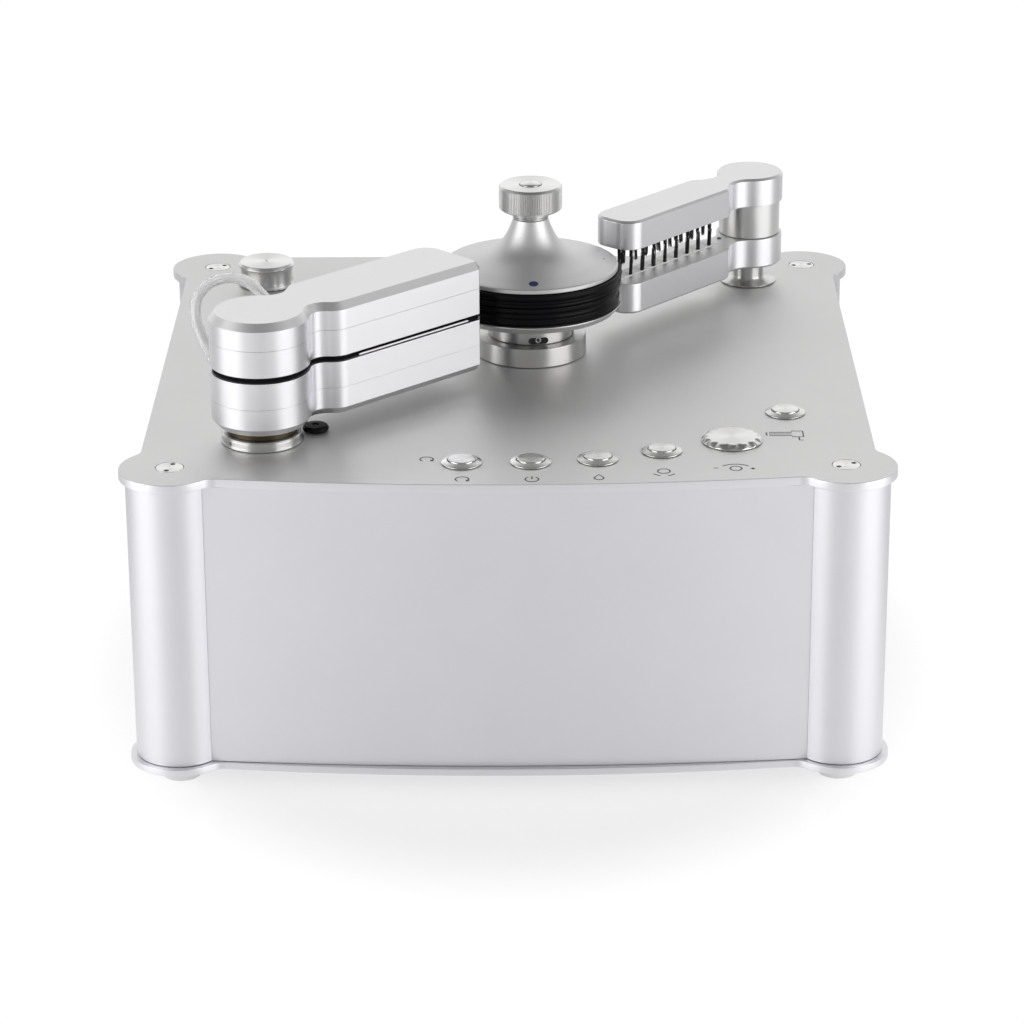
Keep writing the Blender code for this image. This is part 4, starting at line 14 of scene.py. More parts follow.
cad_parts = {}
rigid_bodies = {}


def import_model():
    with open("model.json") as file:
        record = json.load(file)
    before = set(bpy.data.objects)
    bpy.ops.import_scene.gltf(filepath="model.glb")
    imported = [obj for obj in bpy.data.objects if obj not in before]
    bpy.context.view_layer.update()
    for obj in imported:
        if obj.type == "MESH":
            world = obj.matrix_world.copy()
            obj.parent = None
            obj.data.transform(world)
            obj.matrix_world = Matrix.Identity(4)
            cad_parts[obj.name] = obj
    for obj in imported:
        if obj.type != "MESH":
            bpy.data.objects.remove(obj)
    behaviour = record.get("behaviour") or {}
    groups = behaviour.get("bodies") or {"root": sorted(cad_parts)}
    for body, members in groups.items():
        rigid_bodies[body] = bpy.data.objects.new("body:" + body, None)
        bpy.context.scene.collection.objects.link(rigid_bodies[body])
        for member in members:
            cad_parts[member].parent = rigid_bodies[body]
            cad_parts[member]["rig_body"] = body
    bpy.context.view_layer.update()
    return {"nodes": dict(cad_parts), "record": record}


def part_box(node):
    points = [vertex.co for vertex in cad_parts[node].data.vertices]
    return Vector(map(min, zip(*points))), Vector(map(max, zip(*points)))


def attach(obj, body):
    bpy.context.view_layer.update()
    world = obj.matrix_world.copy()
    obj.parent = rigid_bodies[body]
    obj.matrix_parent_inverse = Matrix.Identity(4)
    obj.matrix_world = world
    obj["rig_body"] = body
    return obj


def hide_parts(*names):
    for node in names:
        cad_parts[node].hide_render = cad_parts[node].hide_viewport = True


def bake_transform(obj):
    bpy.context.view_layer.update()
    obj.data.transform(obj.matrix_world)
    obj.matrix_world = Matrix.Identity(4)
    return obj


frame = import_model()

NODES = frame["nodes"]
SLOTS = {part["node"]: part["material_slot"] for part in frame["record"]["subparts"]}


# Places, read from the frame to the micron
def heights_of(node):
    """Lowest and highest level of a node."""
    return [round(corner.z, 6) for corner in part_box(node)]


def middle_of(node):
    """A node's middle in plan."""
    low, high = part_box(node)
    return round((low.x + high.x) / 2, 6), round((low.y + high.y) / 2, 6)


def on_deck(node):
    """Point of the deck's top in line with a node's middle."""
    return Vector((*middle_of(node), DECK_Z))


CEILING_Z, DECK_Z = heights_of("top_plate")
BOTTOM_PLATE_Z, FLOOR_Z = heights_of("bottom_plate")
COLUMN_LOW, COLUMN_HIGH = heights_of("column_rear_right")
COLUMN_X, COLUMN_Y = middle_of("column_rear_right")
CORNERS = {corner: middle_of("column_" + corner)
           for corner in ("front_left", "front_right", "rear_left", "rear_right")}
PLATTER = on_deck("platter_disc")
VACUUM_PIVOT = on_deck("vacuum_arm_base")
BRUSH_PIVOT = on_deck("brush_arm_base")
FILLER = on_deck("filler_cap")
SPEED_KNOB = on_deck("speed_knob")
BUMPER = on_deck("arm_stop_bumper")
BUTTONS = {use + "_button": on_deck(use + "_button")
           for use in ("auto", "power", "liquid", "platter", "vacuum")}

# Sizes that several pieces share, repeated from the part's source
GAP = 0.0003
OVERRUN = 0.002
EDGE = 0.0005
COLUMN_RADIUS = 0.0233
BOLT_BORE = 0.0043
BOLT_HEAD_RADIUS, BOLT_HEAD_THICKNESS = 0.0072, 0.003
LOBE_MARGIN, LOBE_FILLET = 0.0032, 0.009
SIDE_EDGE_X, BACK_EDGE_Y, FRONT_EDGE_Y = 0.191, 0.1845, 0.1925
FRONT_SAGITTA, FRONT_HALF_CHORD = 0.0097, 0.150
PANEL_THICKNESS, PANEL_SETBACK = 0.003, 0.0035
PANEL_REACH, PANEL_SAGITTA = 0.0035, 0.0078
SEAL_RIM = 0.0506
HEAD_RADIUS = 0.0262
PIN_BORE = 0.0063

# Hose of the vacuum arm, in the arm's own directions
HOSE_RADIUS, HOSE_BORE, HOSE_SIDES = 0.003, 0.0021, 32
PORT_LENGTH = 0.003
UPPER_PORT = (Vector((0.030, 0.0205, 0.063)), radians(90))
LOWER_PORT_ANGLE, LOWER_PORT_HEIGHT = radians(92), 0.0325
HOSE_ROUTE = (
    (0.0297, 0.0345, 0.0655),
    (0.0278, 0.0390, 0.0698),
    (0.0254, 0.0440, 0.0718),
    (0.0220, 0.0495, 0.0722),
    (0.0146, 0.0563, 0.0696),
    (0.0078, 0.0593, 0.0629),
    (0.0038, 0.0570, 0.0539),
    (0.0024, 0.0499, 0.0430),
    (0.0012, 0.0420, 0.0359),
)

# Camera at the photograph's place, without lens shift
CAMERA_PLACE = (0.008825, -1.9605, 0.86575)
CAMERA_TURNS = (radians(0.21803), radians(68.2086), radians(-0.30183))
CAMERA_LENS, SENSOR = 131.51, 36


def make_camera():
    """Camera at the photograph's viewing angle."""
    data = bpy.data.cameras.new("camera")
    data.lens, data.sensor_width = CAMERA_LENS, SENSOR
    camera = bpy.data.objects.new("camera", data)
    bpy.context.scene.collection.objects.link(camera)
    heading, pitch, roll = CAMERA_TURNS
    turn = Matrix.Rotation(heading, 4, "Z") @ Matrix.Rotation(pitch, 4, "X") @ Matrix.Rotation(roll, 4, "Z")
    camera.matrix_world = Matrix.Translation(CAMERA_PLACE) @ turn
    bpy.context.scene.camera = camera


# Materials
NOISE_RANGE = 0.3, 0.7
BROAD_SCALE = 22.0
LONG_STRETCH = (0.012, 1, 1)
MICRON = 0.000001


class Nodes:
    """Shader nodes of a material or of the world."""

    def __init__(self, owner):
        owner.use_nodes = True
        self.tree = owner.node_tree

    def feed(self, socket, source):
        """Links a socket to another one, or sets its value."""
        if isinstance(source, bpy.types.NodeSocket):
            self.tree.links.new(source, socket)
        else:
            socket.default_value = source

    def add(self, kind, *sources, **values):
        """New node: the sources feed its first inputs, the values its named inputs and settings."""
        node = self.tree.nodes.new("ShaderNode" + kind)
        for key, value in values.items():
            if key in node.inputs:
                self.feed(node.inputs[key], value)
            else:
                setattr(node, key, value)
        for socket, source in zip(node.inputs, sources):
            self.feed(socket, source)
        return node

    def math(self, operation, *sources):
        """Sum, product and the like of values."""
        return self.add("Math", *sources, operation=operation).outputs[0]

    def length(self, vector):
        """Length of a vector."""
        return self.add("VectorMath", vector, operation="LENGTH").outputs["Value"]

    def ramp(self, source, low, high, bottom, top, kind="SMOOTHSTEP"):
        """Value mapped from low and high to bottom and top."""
        return self.add("MapRange", source, low, high, bottom, top, interpolation_type=kind).outputs["Result"]

    def tint(self, source, dark, light):
        """Noise mapped between two colours."""
        ramp = self.add("ValToRGB", source)
        for element, position, colour in zip(ramp.color_ramp.elements, NOISE_RANGE, (dark, light)):
            element.position, element.color = position, (*colour, 1)
        return ramp.outputs["Color"]

    def grain(self, kind, scale):
        """Fine noise: even, drawn out along local X, or turned round local Z."""
        place = self.add("TexCoord").outputs["Object"]
        if kind == "long":
            place = self.add("Mapping", place, Scale=LONG_STRETCH).outputs["Vector"]
        if kind == "turned":
            x, y, z = self.add("SeparateXYZ", place).outputs
            reach = self.length(self.add("CombineXYZ", x, y).outputs[0])
            place = self.add("CombineXYZ", reach, 0, z).outputs[0]
        return self.add("TexNoise", place, Scale=scale, Detail=3.0, Roughness=0.6).outputs["Fac"]


def make_material(name, colour, roughness, grain, scale, relief, vary=0.03, spread=0.05, **extra):
    """Surface with fine relief in microns, and slight changes of colour and roughness."""
    material = bpy.data.materials.new(name)
    nodes = Nodes(material)
    fine, broad = nodes.grain(grain, scale), nodes.grain("even", BROAD_SCALE)
    dark, light = [[min(1.0, part * factor) for part in colour] for factor in (1 - vary, 1 + vary)]
    bump = nodes.add("Bump", Strength=1.0, Distance=relief * MICRON, Height=fine)
    inputs = {"Roughness": nodes.ramp(fine, *NOISE_RANGE, roughness - spread, roughness + spread, "LINEAR"),
              "Base Color": nodes.tint(broad, dark, light), "Normal": bump.outputs["Normal"]}
    inputs |= {key.replace("_", " "): value for key, value in extra.items()}
    for key, source in inputs.items():
        nodes.feed(nodes.tree.nodes["Principled BSDF"].inputs[key], source)
    return material


def metal(*look, stretch=0.0):
    """Look of a bare metal, whose highlights a stretch draws out upright."""
    drawn_out = {"Anisotropic": stretch, "Anisotropic_Rotation": 0.25} if stretch else {}
    return look, {"Metallic": 1.0, **drawn_out}


def coat(*look, **changes):
    """Look of plastic, rubber, cloth or paint."""
    return look, changes


# Each look: colour, roughness, grain, scale of the grain, relief in microns, and where they aren't
# the usual ones the shares by which the colour and the roughness vary
LOOKS = {
    "deck_aluminium": metal((0.755, 0.752, 0.748), 0.52, "even", 2600, 3, 0.01),
    "satin_aluminium": metal((0.825, 0.82, 0.855), 0.46, "even", 2600, 3, 0.01, stretch=0.6),
    "column_aluminium": metal((0.785, 0.78, 0.815), 0.48, "even", 2600, 2, 0.008, stretch=0.45),
    "clamp_aluminium": metal((0.68, 0.68, 0.685), 0.48, "turned", 1800, 2, 0.012),
    "bright_aluminium": metal((0.80, 0.795, 0.82), 0.38, "long", 2400, 1, 0.008, 0.02, stretch=0.65),
    "blasted_aluminium": metal((0.765, 0.76, 0.77), 0.42, "even", 2600, 2, 0.008, 0.03),
    "spacer_aluminium": metal((0.74, 0.735, 0.73), 0.30, "turned", 2400, 0.1, 0.006, 0.01,
                              stretch=0.5),
    "turned_aluminium": metal((0.72, 0.715, 0.71), 0.32, "turned", 2400, 1.5, 0.012, 0.03,
                              stretch=0.7),
    "polished_steel": metal((0.575, 0.57, 0.565), 0.33, "turned", 2600, 0.5, 0.01, 0.02, stretch=0.9),
    "brushed_steel": metal((0.70, 0.695, 0.685), 0.25, "turned", 2200, 0.2, 0.006, 0.01, stretch=0.8),
    "dark_steel": metal((0.055, 0.055, 0.06), 0.3, "turned", 1500, 4),
    "bronze": metal((0.085, 0.068, 0.042), 0.22, "turned", 1500, 4, 0.08),
    "black_rubber": coat((0.003, 0.003, 0.004), 0.3, "turned", 1300, 6, 0.2, 0.06,
                         Specular_IOR_Level=0.1),
    "black_velvet": coat((0.004, 0.004, 0.004), 0.8, "even", 2500, 120, 0.3, Sheen_Weight=0.02,
                         Specular_IOR_Level=0.12),
    "bristle": coat((0.006, 0.006, 0.007), 0.42, "even", 3000, 10, 0.3, Specular_IOR_Level=0.3),
    "brush_pad": coat((0.88, 0.88, 0.87), 0.85, "even", 3000, 100, Sheen_Weight=0.2),
    "black_plastic": coat((0.016, 0.016, 0.017), 0.42, "even", 1600, 20, 0.12, Specular_IOR_Level=0.4),
    "white_plastic": coat((0.88, 0.88, 0.87), 0.42, "turned", 900, 10),
    "clear_hose": coat((0.98, 0.98, 0.985), 0.16, "even", 60, 0.5, 0.006, 0.03,
                       Transmission_Weight=0.75, IOR=1.41),
    "tank_plastic": coat((0.80, 0.82, 0.80), 0.4, "even", 200, 30, Transmission_Weight=0.3),
    "grey_metal": metal((0.35, 0.36, 0.38), 0.4, "even", 500, 10, 0.1),
    "winding_tape": coat((0.75, 0.60, 0.15), 0.5, "turned", 300, 100, 0.08),
    "board_green": coat((0.03, 0.20, 0.08), 0.4, "even", 300, 30, 0.15),
    "blue_mark": coat((0.012, 0.014, 0.10), 0.3, "even", 800, 5, 0.1),
    "etching": coat((0.12, 0.12, 0.125), 0.6, "even", 2500, 4, 0.1, Specular_IOR_Level=0.2),
}
FINISHES = {name: make_material(name, *look, **changes) for name, (look, changes) in LOOKS.items()}


# Curves
def arc(centre, radius, start, end, steps):
    """Points of an arc in plan, both ends included."""
    turns = [start + (end - start) * step / steps for step in range(steps + 1)]
    return [(centre[0] + radius * cos(a), centre[1] + radius * sin(a)) for a in turns]


def angle_to(start, end):
    """Direction from one plan point to another."""
    return atan2(end[1] - start[1], end[0] - start[0])


def toward(angle):
    """Unit vector of a direction in plan."""
    return Vector((cos(angle), sin(angle), 0))


def bow_radius(sagitta, half_chord):
    """Radius of a shallow arc from its rise and half its chord."""
    return (half_chord ** 2 + sagitta ** 2) / (2 * sagitta)


def circles_meet(centre_a, radius_a, centre_b, radius_b):
    """The crossing of two circles that lies left of the way from a to b."""
    span = hypot(centre_b[0] - centre_a[0], centre_b[1] - centre_a[1])
    along = (radius_a ** 2 - radius_b ** 2 + span ** 2) / (2 * span)
    across = sqrt(radius_a ** 2 - along ** 2)
    ux, uy = (centre_b[0] - centre_a[0]) / span, (centre_b[1] - centre_a[1]) / span
    return (centre_a[0] + along * ux - across * uy, centre_a[1] + along * uy + across * ux)


def lift(outline, z):
    """Gives an outline its height."""
    return [(x, y, z) for x, y in outline]


def bend(start, corner, end, t):
    """Point of a curve that leaves start and reaches end towards the corner between them."""
    return start * (1 - t) ** 2 + corner * (2 * t * (1 - t)) + end * t * t


LEAST_ROUNDING, LEAST_TURN = 0.00001, radians(14)
SIDE_SHARE = 2.2


def soften(profile, radius=EDGE, steps=4):
    """Rounds the corners of a profile, apart from slight turns."""
    points = [profile[0]]
    for before, corner, after in zip(profile, profile[1:], profile[2:]):
        corner = Vector(corner)
        back, on = Vector(before) - corner, Vector(after) - corner
        reach = min(radius, back.length / SIDE_SHARE, on.length / SIDE_SHARE)
        if reach < LEAST_ROUNDING or pi - back.angle(on) < LEAST_TURN:
            points.append(tuple(corner))
            continue
        start, end = corner + back.normalized() * reach, corner + on.normalized() * reach
        points += [tuple(bend(start, corner, end, step / steps)) for step in range(steps + 1)]
    return points + [profile[-1]]


# Solids
def add_turned(bm, profile, centre=(0, 0, 0), sides=96, wave=None):
    """Closed body turned from (radius, height); a wave moves points by their angle."""
    rings = []
    for radius, height in profile:
        ring = []
        for side in range(sides if radius else 1):
            turn = 2 * pi * side / sides
            r = radius + (wave(turn, radius, height) if wave else 0)
            ring.append(bm.verts.new((centre[0] + r * cos(turn), centre[1] + r * sin(turn),
                                      centre[2] + height)))
        rings.append(ring)
    pairs = list(zip(rings, rings[1:]))
    if profile[0][0] > 0:
        pairs.append((rings[-1], rings[0]))
    for low, high in pairs:
        for side in range(sides):
            corners = [low[side % len(low)], low[(side + 1) % len(low)],
                       high[(side + 1) % len(high)], high[side % len(high)]]
            corners = list(dict.fromkeys(corners))
            if len(corners) > 2:
                bm.faces.new(corners)


def turned(profile, sides=96, wave=None):
    """New turned body about its own axis."""
    bm = bmesh.new()
    add_turned(bm, profile, sides=sides, wave=wave)
    return bm


def add_loft(bm, rings):
    """Skins rings of equal point count and caps both ends."""
    levels = [[bm.verts.new(point) for point in ring] for ring in rings]
    for low, high in zip(levels, levels[1:]):
        add_band(bm, low, high)
    bm.faces.new(reversed(levels[0]))
    bm.faces.new(levels[-1])


def add_band(bm, low, high):
    """Faces between two closed rings of vertices."""
    for i in range(len(low)):
        j = (i + 1) % len(low)
        bm.faces.new((low[i], low[j], high[j], high[i]))


def lofted(rings):
    """New lofted body."""
    bm = bmesh.new()
    add_loft(bm, rings)
    return bm


def add_block(bm, low, high):
    """Box between two corners, for a tool."""
    outline = [(low[0], low[1]), (high[0], low[1]), (high[0], high[1]), (low[0], high[1])]
    add_loft(bm, [lift(outline, low[2]), lift(outline, high[2])])


def add_rod(bm, start, end, radius, sides):
    """Round bar between two points."""
    turn = (end - start).to_track_quat("Z", "Y").to_matrix().to_4x4()
    bmesh.ops.create_cone(bm, cap_ends=True, segments=sides, radius1=radius, radius2=radius,
                          depth=(end - start).length,
                          matrix=Matrix.Translation((start + end) / 2) @ turn)


def disc(radius, low, high):
    """Plain solid cylinder, for a tool."""
    return [(0, low), (radius, low), (radius, high), (0, high)]


def carve(bm, tool, operation="DIFFERENCE"):
    """Cuts a tool out of a body, or joins it on."""
    for source in (bm, tool):
        bmesh.ops.recalc_face_normals(source, faces=source.faces)
    target, cutter = new_object("carving", bm), new_object("carving", tool)
    modifier = target.modifiers.new("carving", "BOOLEAN")
    modifier.operation, modifier.solver, modifier.object = operation, "EXACT", cutter
    bpy.context.view_layer.update()
    evaluated = target.evaluated_get(bpy.context.evaluated_depsgraph_get())
    result = bmesh.new()
    result.from_mesh(evaluated.to_mesh())
    for obj in (target, cutter):
        mesh = obj.data
        bpy.data.objects.remove(obj)
        bpy.data.meshes.remove(mesh)
    return result


SHARP_ANGLE, BEVEL_ANGLE = radians(32), radians(35)
FLAT_NORMAL = 0.5


def add_bevel(obj, width, angle):
    """Rounds the sharp edges of an object, and keeps its flat faces flat."""
    if width:
        edge = obj.modifiers.new("edge", "BEVEL")
        edge.width, edge.segments, edge.limit_method, edge.angle_limit = width, 2, "ANGLE", angle
    obj.modifiers.new("shading", "WEIGHTED_NORMAL").keep_sharp = True


def new_object(name, bm, sharp_angle=None):
    """Turns a body into an object, smooth up to the sharp angle."""
    mesh = bpy.data.meshes.new(name)
    bm.to_mesh(mesh)
    bm.free()
    if sharp_angle:
        mesh.shade_smooth()
        mesh.set_sharp_from_angle(angle=sharp_angle)
    obj = bpy.data.objects.new(name, mesh)
    bpy.context.scene.collection.objects.link(obj)
    return obj


def make_piece(name, bm, finish, node=None, place=Matrix(), body=None, bevel=0.0, flat_finish=None):
    """A piece of the scene, which stands for a node where one is given."""
    bmesh.ops.recalc_face_normals(bm, faces=bm.faces)
    piece = new_object(name, bm, SHARP_ANGLE)
    piece.data.materials.append(FINISHES[finish])
    if flat_finish:
        piece.data.materials.append(FINISHES[flat_finish])
        for face in piece.data.polygons:
            face.material_index = int(abs(face.normal.z) > FLAT_NORMAL)
    piece.matrix_world = place if isinstance(place, Matrix) else Matrix.Translation(place)
    add_bevel(piece, bevel, BEVEL_ANGLE)
    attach(piece, body or NODES[node]["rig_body"])
    if node:
        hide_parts(node)
    return piece


def turned_piece(name, profile, finish, node=None, place=PLATTER, sides=96, wave=None, **options):
    """A turned piece whose own axis is its object's Z."""
    return make_piece(name, turned(profile, sides, wave), finish, node, place, **options)


# Case
def plate_outline(inset=0.0):
    """Outline of both plates: round lobes over the columns and a bowed front edge."""
    lobe = COLUMN_RADIUS + LOBE_MARGIN - inset
    fillet_radius = LOBE_FILLET + inset
    reach = lobe + fillet_radius
    bow = bow_radius(FRONT_SAGITTA, FRONT_HALF_CHORD) - inset
    bow_centre = (0, bow + inset - FRONT_EDGE_Y)
    front, back = (COLUMN_X, -COLUMN_Y), (COLUMN_X, COLUMN_Y)
    bow_fillet = circles_meet(front, reach, bow_centre, bow + fillet_radius)
    side_x = SIDE_EDGE_X + LOBE_FILLET
    side_rise = sqrt(reach ** 2 - (side_x - COLUMN_X) ** 2)
    side_fillets = ((side_x, -COLUMN_Y + side_rise), (side_x, COLUMN_Y - side_rise))
    back_y = BACK_EDGE_Y + LOBE_FILLET
    back_fillet = (COLUMN_X - sqrt(reach ** 2 - (back_y - COLUMN_Y) ** 2), back_y)

    def fillet(centre, start, end):
        return arc(centre, fillet_radius, start, end, 12)

    bow_turn = angle_to(bow_centre, bow_fillet)
    points = arc(bow_centre, bow, -pi / 2, bow_turn, 24)[:-1]
    points += fillet(bow_fillet, bow_turn + pi, angle_to(bow_fillet, front))[:-1]
    points += arc(front, lobe, angle_to(front, bow_fillet), 0, 40)[:-1]
    points += arc(front, lobe, 0, angle_to(front, side_fillets[0]), 16)[:-1]
    points += fillet(side_fillets[0], angle_to(side_fillets[0], front) + 2 * pi, pi)
    points += fillet(side_fillets[1], pi, angle_to(side_fillets[1], back))[:-1]
    points += arc(back, lobe, angle_to(back, side_fillets[1]), 0, 16)[:-1]
    points += arc(back, lobe, 0, pi / 2, 24)[:-1]
    points += arc(back, lobe, pi / 2, angle_to(back, back_fillet), 16)[:-1]
    points += fillet(back_fillet, angle_to(back_fillet, back), -pi / 2)
    return points + [(-x, y) for x, y in reversed(points[1:])]


def rounded_plate(low, high):
    """Plate body with softly broken edges."""
    levels = [(EDGE, low), (EDGE * 0.3, low + EDGE * 0.3), (0, low + EDGE),
              (0, high - EDGE), (EDGE * 0.3, high - EDGE * 0.3), (EDGE, high)]
    return lofted([lift(plate_outline(inset), z) for inset, z in levels])


DECK_BORES = ((PLATTER, 0.0263), (VACUUM_PIVOT, 0.0143), (BRUSH_PIVOT, 0.0083), (FILLER, 0.0125),
              (SPEED_KNOB, 0.0048), (BUMPER, 0.0023), *((spot, 0.0095) for spot in BUTTONS.values()))


def make_plates():
    """Deck and floor of the case, with their bores."""
    low, high = CEILING_Z - OVERRUN, DECK_Z + OVERRUN
    step, head = DECK_Z - BOLT_HEAD_THICKNESS - GAP, BOLT_HEAD_RADIUS + GAP
    bolt = [(0, low), (BOLT_BORE, low), (BOLT_BORE, step), (head, step), (head, high), (0, high)]
    tool, floor_tool = bmesh.new(), bmesh.new()
    for x, y in CORNERS.values():
        add_turned(tool, bolt, (x, y, 0), 48)
        add_turned(floor_tool, disc(BOLT_BORE, BOTTOM_PLATE_Z - OVERRUN, FLOOR_Z + OVERRUN), (x, y, 0), 32)
    for spot, radius in DECK_BORES:
        add_turned(tool, disc(radius, low, high), (spot.x, spot.y, 0), 48)
    make_piece("deck", carve(rounded_plate(CEILING_Z, DECK_Z), tool), "satin_aluminium", "top_plate",
               flat_finish="deck_aluminium")
    make_piece("case_floor", carve(rounded_plate(BOTTOM_PLATE_Z, FLOOR_Z), floor_tool), "satin_aluminium",
               "bottom_plate")


def column_edge(along, across, face):
    """How far out the columns begin on the plane of a panel's face."""
    return along - sqrt(COLUMN_RADIUS ** 2 - (face - across) ** 2)


def front_panel_rings(margin=0.0):
    """Bowed front panel, or with a margin the slot that takes it."""
    panel_y = FRONT_EDGE_Y - PANEL_SETBACK
    half_chord = column_edge(COLUMN_X, COLUMN_Y, panel_y - PANEL_SAGITTA)
    radius = bow_radius(PANEL_SAGITTA, half_chord)
    centre = (0, radius - panel_y)
    reach = asin((half_chord + PANEL_REACH + margin) / radius)
    outer = arc(centre, radius + margin, -pi / 2 - reach, -pi / 2 + reach, 60)
    inner = arc(centre, radius - PANEL_THICKNESS - margin, -pi / 2 + reach, -pi / 2 - reach, 60)
    overrun = OVERRUN if margin else 0
    return [lift(outer + inner, COLUMN_LOW - overrun), lift(outer + inner, COLUMN_HIGH + overrun)]


def make_walls():
    """Front panel and the four columns that take the panels."""
    make_piece("front_wall", lofted(front_panel_rings()), "satin_aluminium", "front_panel")
    low, high = COLUMN_LOW - OVERRUN, COLUMN_HIGH + OVERRUN
    wall_x, wall_y = SIDE_EDGE_X - PANEL_SETBACK, BACK_EDGE_Y - PANEL_SETBACK
    half_x = column_edge(COLUMN_X, COLUMN_Y, wall_y) + PANEL_REACH + GAP
    half_y = column_edge(COLUMN_Y, COLUMN_X, wall_x) + PANEL_REACH + GAP
    depth = PANEL_THICKNESS + GAP
    profile = soften([(BOLT_BORE, COLUMN_LOW), (COLUMN_RADIUS, COLUMN_LOW), (COLUMN_RADIUS, COLUMN_HIGH),
                      (BOLT_BORE, COLUMN_HIGH)], 0.0004)
    for name, (x, y) in CORNERS.items():
        body, tool = bmesh.new(), bmesh.new()
        add_turned(body, profile, (x, y, 0), 128)
        if y < 0:
            add_loft(tool, front_panel_rings(GAP))
        else:
            add_block(tool, (-half_x, wall_y - depth, low), (half_x, wall_y + GAP, high))
        edges = sorted(x / COLUMN_X * face for face in (wall_x - depth, wall_x + GAP))
        add_block(tool, (edges[0], -half_y, low), (edges[1], half_y, high))
        make_piece("pillar_" + name, carve(body, tool), "column_aluminium", "column_" + name)


TIE_TURNS = {"front_left": 75, "front_right": 32, "rear_left": 38, "rear_right": 12}
PIN_HOLE, PIN_CIRCLE = 0.0014, 0.0048


def make_feet():
    """White turned feet, and the flush bolt heads on the deck with their two pin holes, each with a black
    disc set just below the face as painted shade.
    """
    foot = [(0, 0.0003), (0.0085, 0.0003), (0.0092, 0), (0.0105, 0), (0.0105, 0.0052), (0.014, 0.0052),
            (0.014, 0.0096), (0.004, 0.0096), (0.004, 0.012), (0, 0.012)]
    shank = 0.0125 - DECK_Z
    head = [(0, shank), (0.0036, shank), (0.0036, -BOLT_HEAD_THICKNESS),
            (BOLT_HEAD_RADIUS, -BOLT_HEAD_THICKNESS), (BOLT_HEAD_RADIUS, 0), (0, 0)]
    # Black disc in each pin hole, a little below the face: painted shade for the hole.
    bottom = [(0, -0.0021), (PIN_HOLE, -0.0021), (PIN_HOLE, -0.0004), (0.0012, -0.0003), (0, -0.0004)]
    hole_shades = bmesh.new()
    for name, (x, y) in CORNERS.items():
        turned_piece("turned_foot_" + name, soften(foot, 0.0004), "white_plastic", "foot_" + name, (x, y, 0))
        place, tool = Vector((x, y, DECK_Z)), bmesh.new()
        for half_turn in (0, 180):
            pin = toward(radians(TIE_TURNS[name] + half_turn)) * PIN_CIRCLE
            add_turned(tool, disc(PIN_HOLE, -0.002, OVERRUN), pin, 24)
            add_turned(hole_shades, soften(bottom, 0.0001), place + pin, 24)
        make_piece("tie_bolt_" + name, carve(turned(soften(head, 0.0003), 64), tool), "brushed_steel",
                   "foot_" + name, place)
    make_piece("pin_hole_shade", hole_shades, "black_plastic", body="case")


# Platter and clamp, with heights over the deck
FINE_SIDES = 160
HUB_LOW, HUB_HIGH = 0.0115, 0.0256
HUB_TURN = Matrix.Rotation(radians(10), 4, "Z")
HUB_SLOT_HALF_LENGTH, HUB_SLOT_HEIGHT = 0.0037, 0.0023


def hub_slot(half_width, near, far):
    """Round-ended slot in the front of the hub, or the black block in it that paints the slot's shade."""
    end = arc((0, HUB_SLOT_HEIGHT), half_width, -pi / 2, pi / 2, 10)
    slot = [(HUB_SLOT_HALF_LENGTH + u, v) for u, v in end]
    slot += [(-u, v) for u, v in reversed(slot)]
    return lofted([[HUB_TURN @ Vector((u, -reach, HUB_LOW + v)) for u, v in slot] for reach in (near, far)])


def make_platter():
    """Bearing, spindle with its hub, disc, mat and seal."""
    bearing = [(0.0113, -0.0498), (0.026, -0.0498), (0.026, GAP), (0.0307, GAP), (0.0307, 0.0112),
               (0.0113, 0.0112)]
    turned_piece("bearing", soften(bearing, 0.0006), "polished_steel", "platter_bearing_housing")
    hub = [(0, -0.078), (0.008, -0.078), (0.008, -0.0697), (0.011, -0.0697), (0.011, HUB_LOW),
           (0.024, HUB_LOW), (0.024, HUB_HIGH), (0.0036, HUB_HIGH), (0.0036, 0.0607), (0.0018, 0.0631),
           (0, 0.0631)]
    make_piece("spindle_hub", carve(turned(soften(hub)), hub_slot(0.0019, 0.0205, 0.027)), "polished_steel",
               "platter_spindle", PLATTER)
    # The black block in the hub's slot is painted shade: it darkens the slot as its own shade would.
    make_piece("hub_slot_shade", hub_slot(0.00185, 0.0206, 0.0226), "black_plastic", body="platter",
               place=PLATTER)
    screw = [(0, -0.001), (0.0016, -0.001), (0.0016, 0), (0.0009, 0), (0.0007, -0.0007), (0, -0.0007)]
    spot = HUB_TURN @ Vector((0, -0.0228, HUB_LOW + HUB_SLOT_HEIGHT))
    turned_piece("hub_screw", soften(screw, 0.0001), "polished_steel", body="platter", sides=36,
                 place=Matrix.Translation(PLATTER + spot) @ HUB_TURN @ Matrix.Rotation(pi / 2, 4, "X"))
    plate = [(0.0039, 0.0259), (0.047, 0.0259), (0.050, 0.0295), (0.050, 0.0301), (0.0142, 0.0301),
             (0.0142, 0.0411), (0.0039, 0.0411)]
    turned_piece("silver_disc", soften(plate), "turned_aluminium", "platter_disc", sides=FINE_SIDES)
    mat = [(0.0145, 0.0304), (0.0482, 0.0304), (0.0493, 0.0316), (0.0493, 0.0344), (0.0483, 0.0352),
           (0.0479, 0.0366), (0.0483, 0.0378), (0.0494, 0.0384), (0.0493, 0.0404), (0.0486, 0.0411),
           (0.0145, 0.0411)]
    turned_piece("rubber_mat", soften(mat, 0.0006), "black_rubber", "platter_mat", sides=FINE_SIDES)
    seal = [(0.0145, 0.0414), (0.0496, 0.0414), (0.0501, 0.0419), (0.0498, 0.0430), (0.0490, 0.0438),
            (0.0491, 0.0448), (0.0503, 0.0456), (SEAL_RIM, 0.0466), (0.0503, 0.0482), (0.0497, 0.0485),
            (0.0145, 0.0485)]
    turned_piece("rubber_seal", soften(seal, 0.0006), "black_rubber", "clamp_seal", sides=FINE_SIDES)


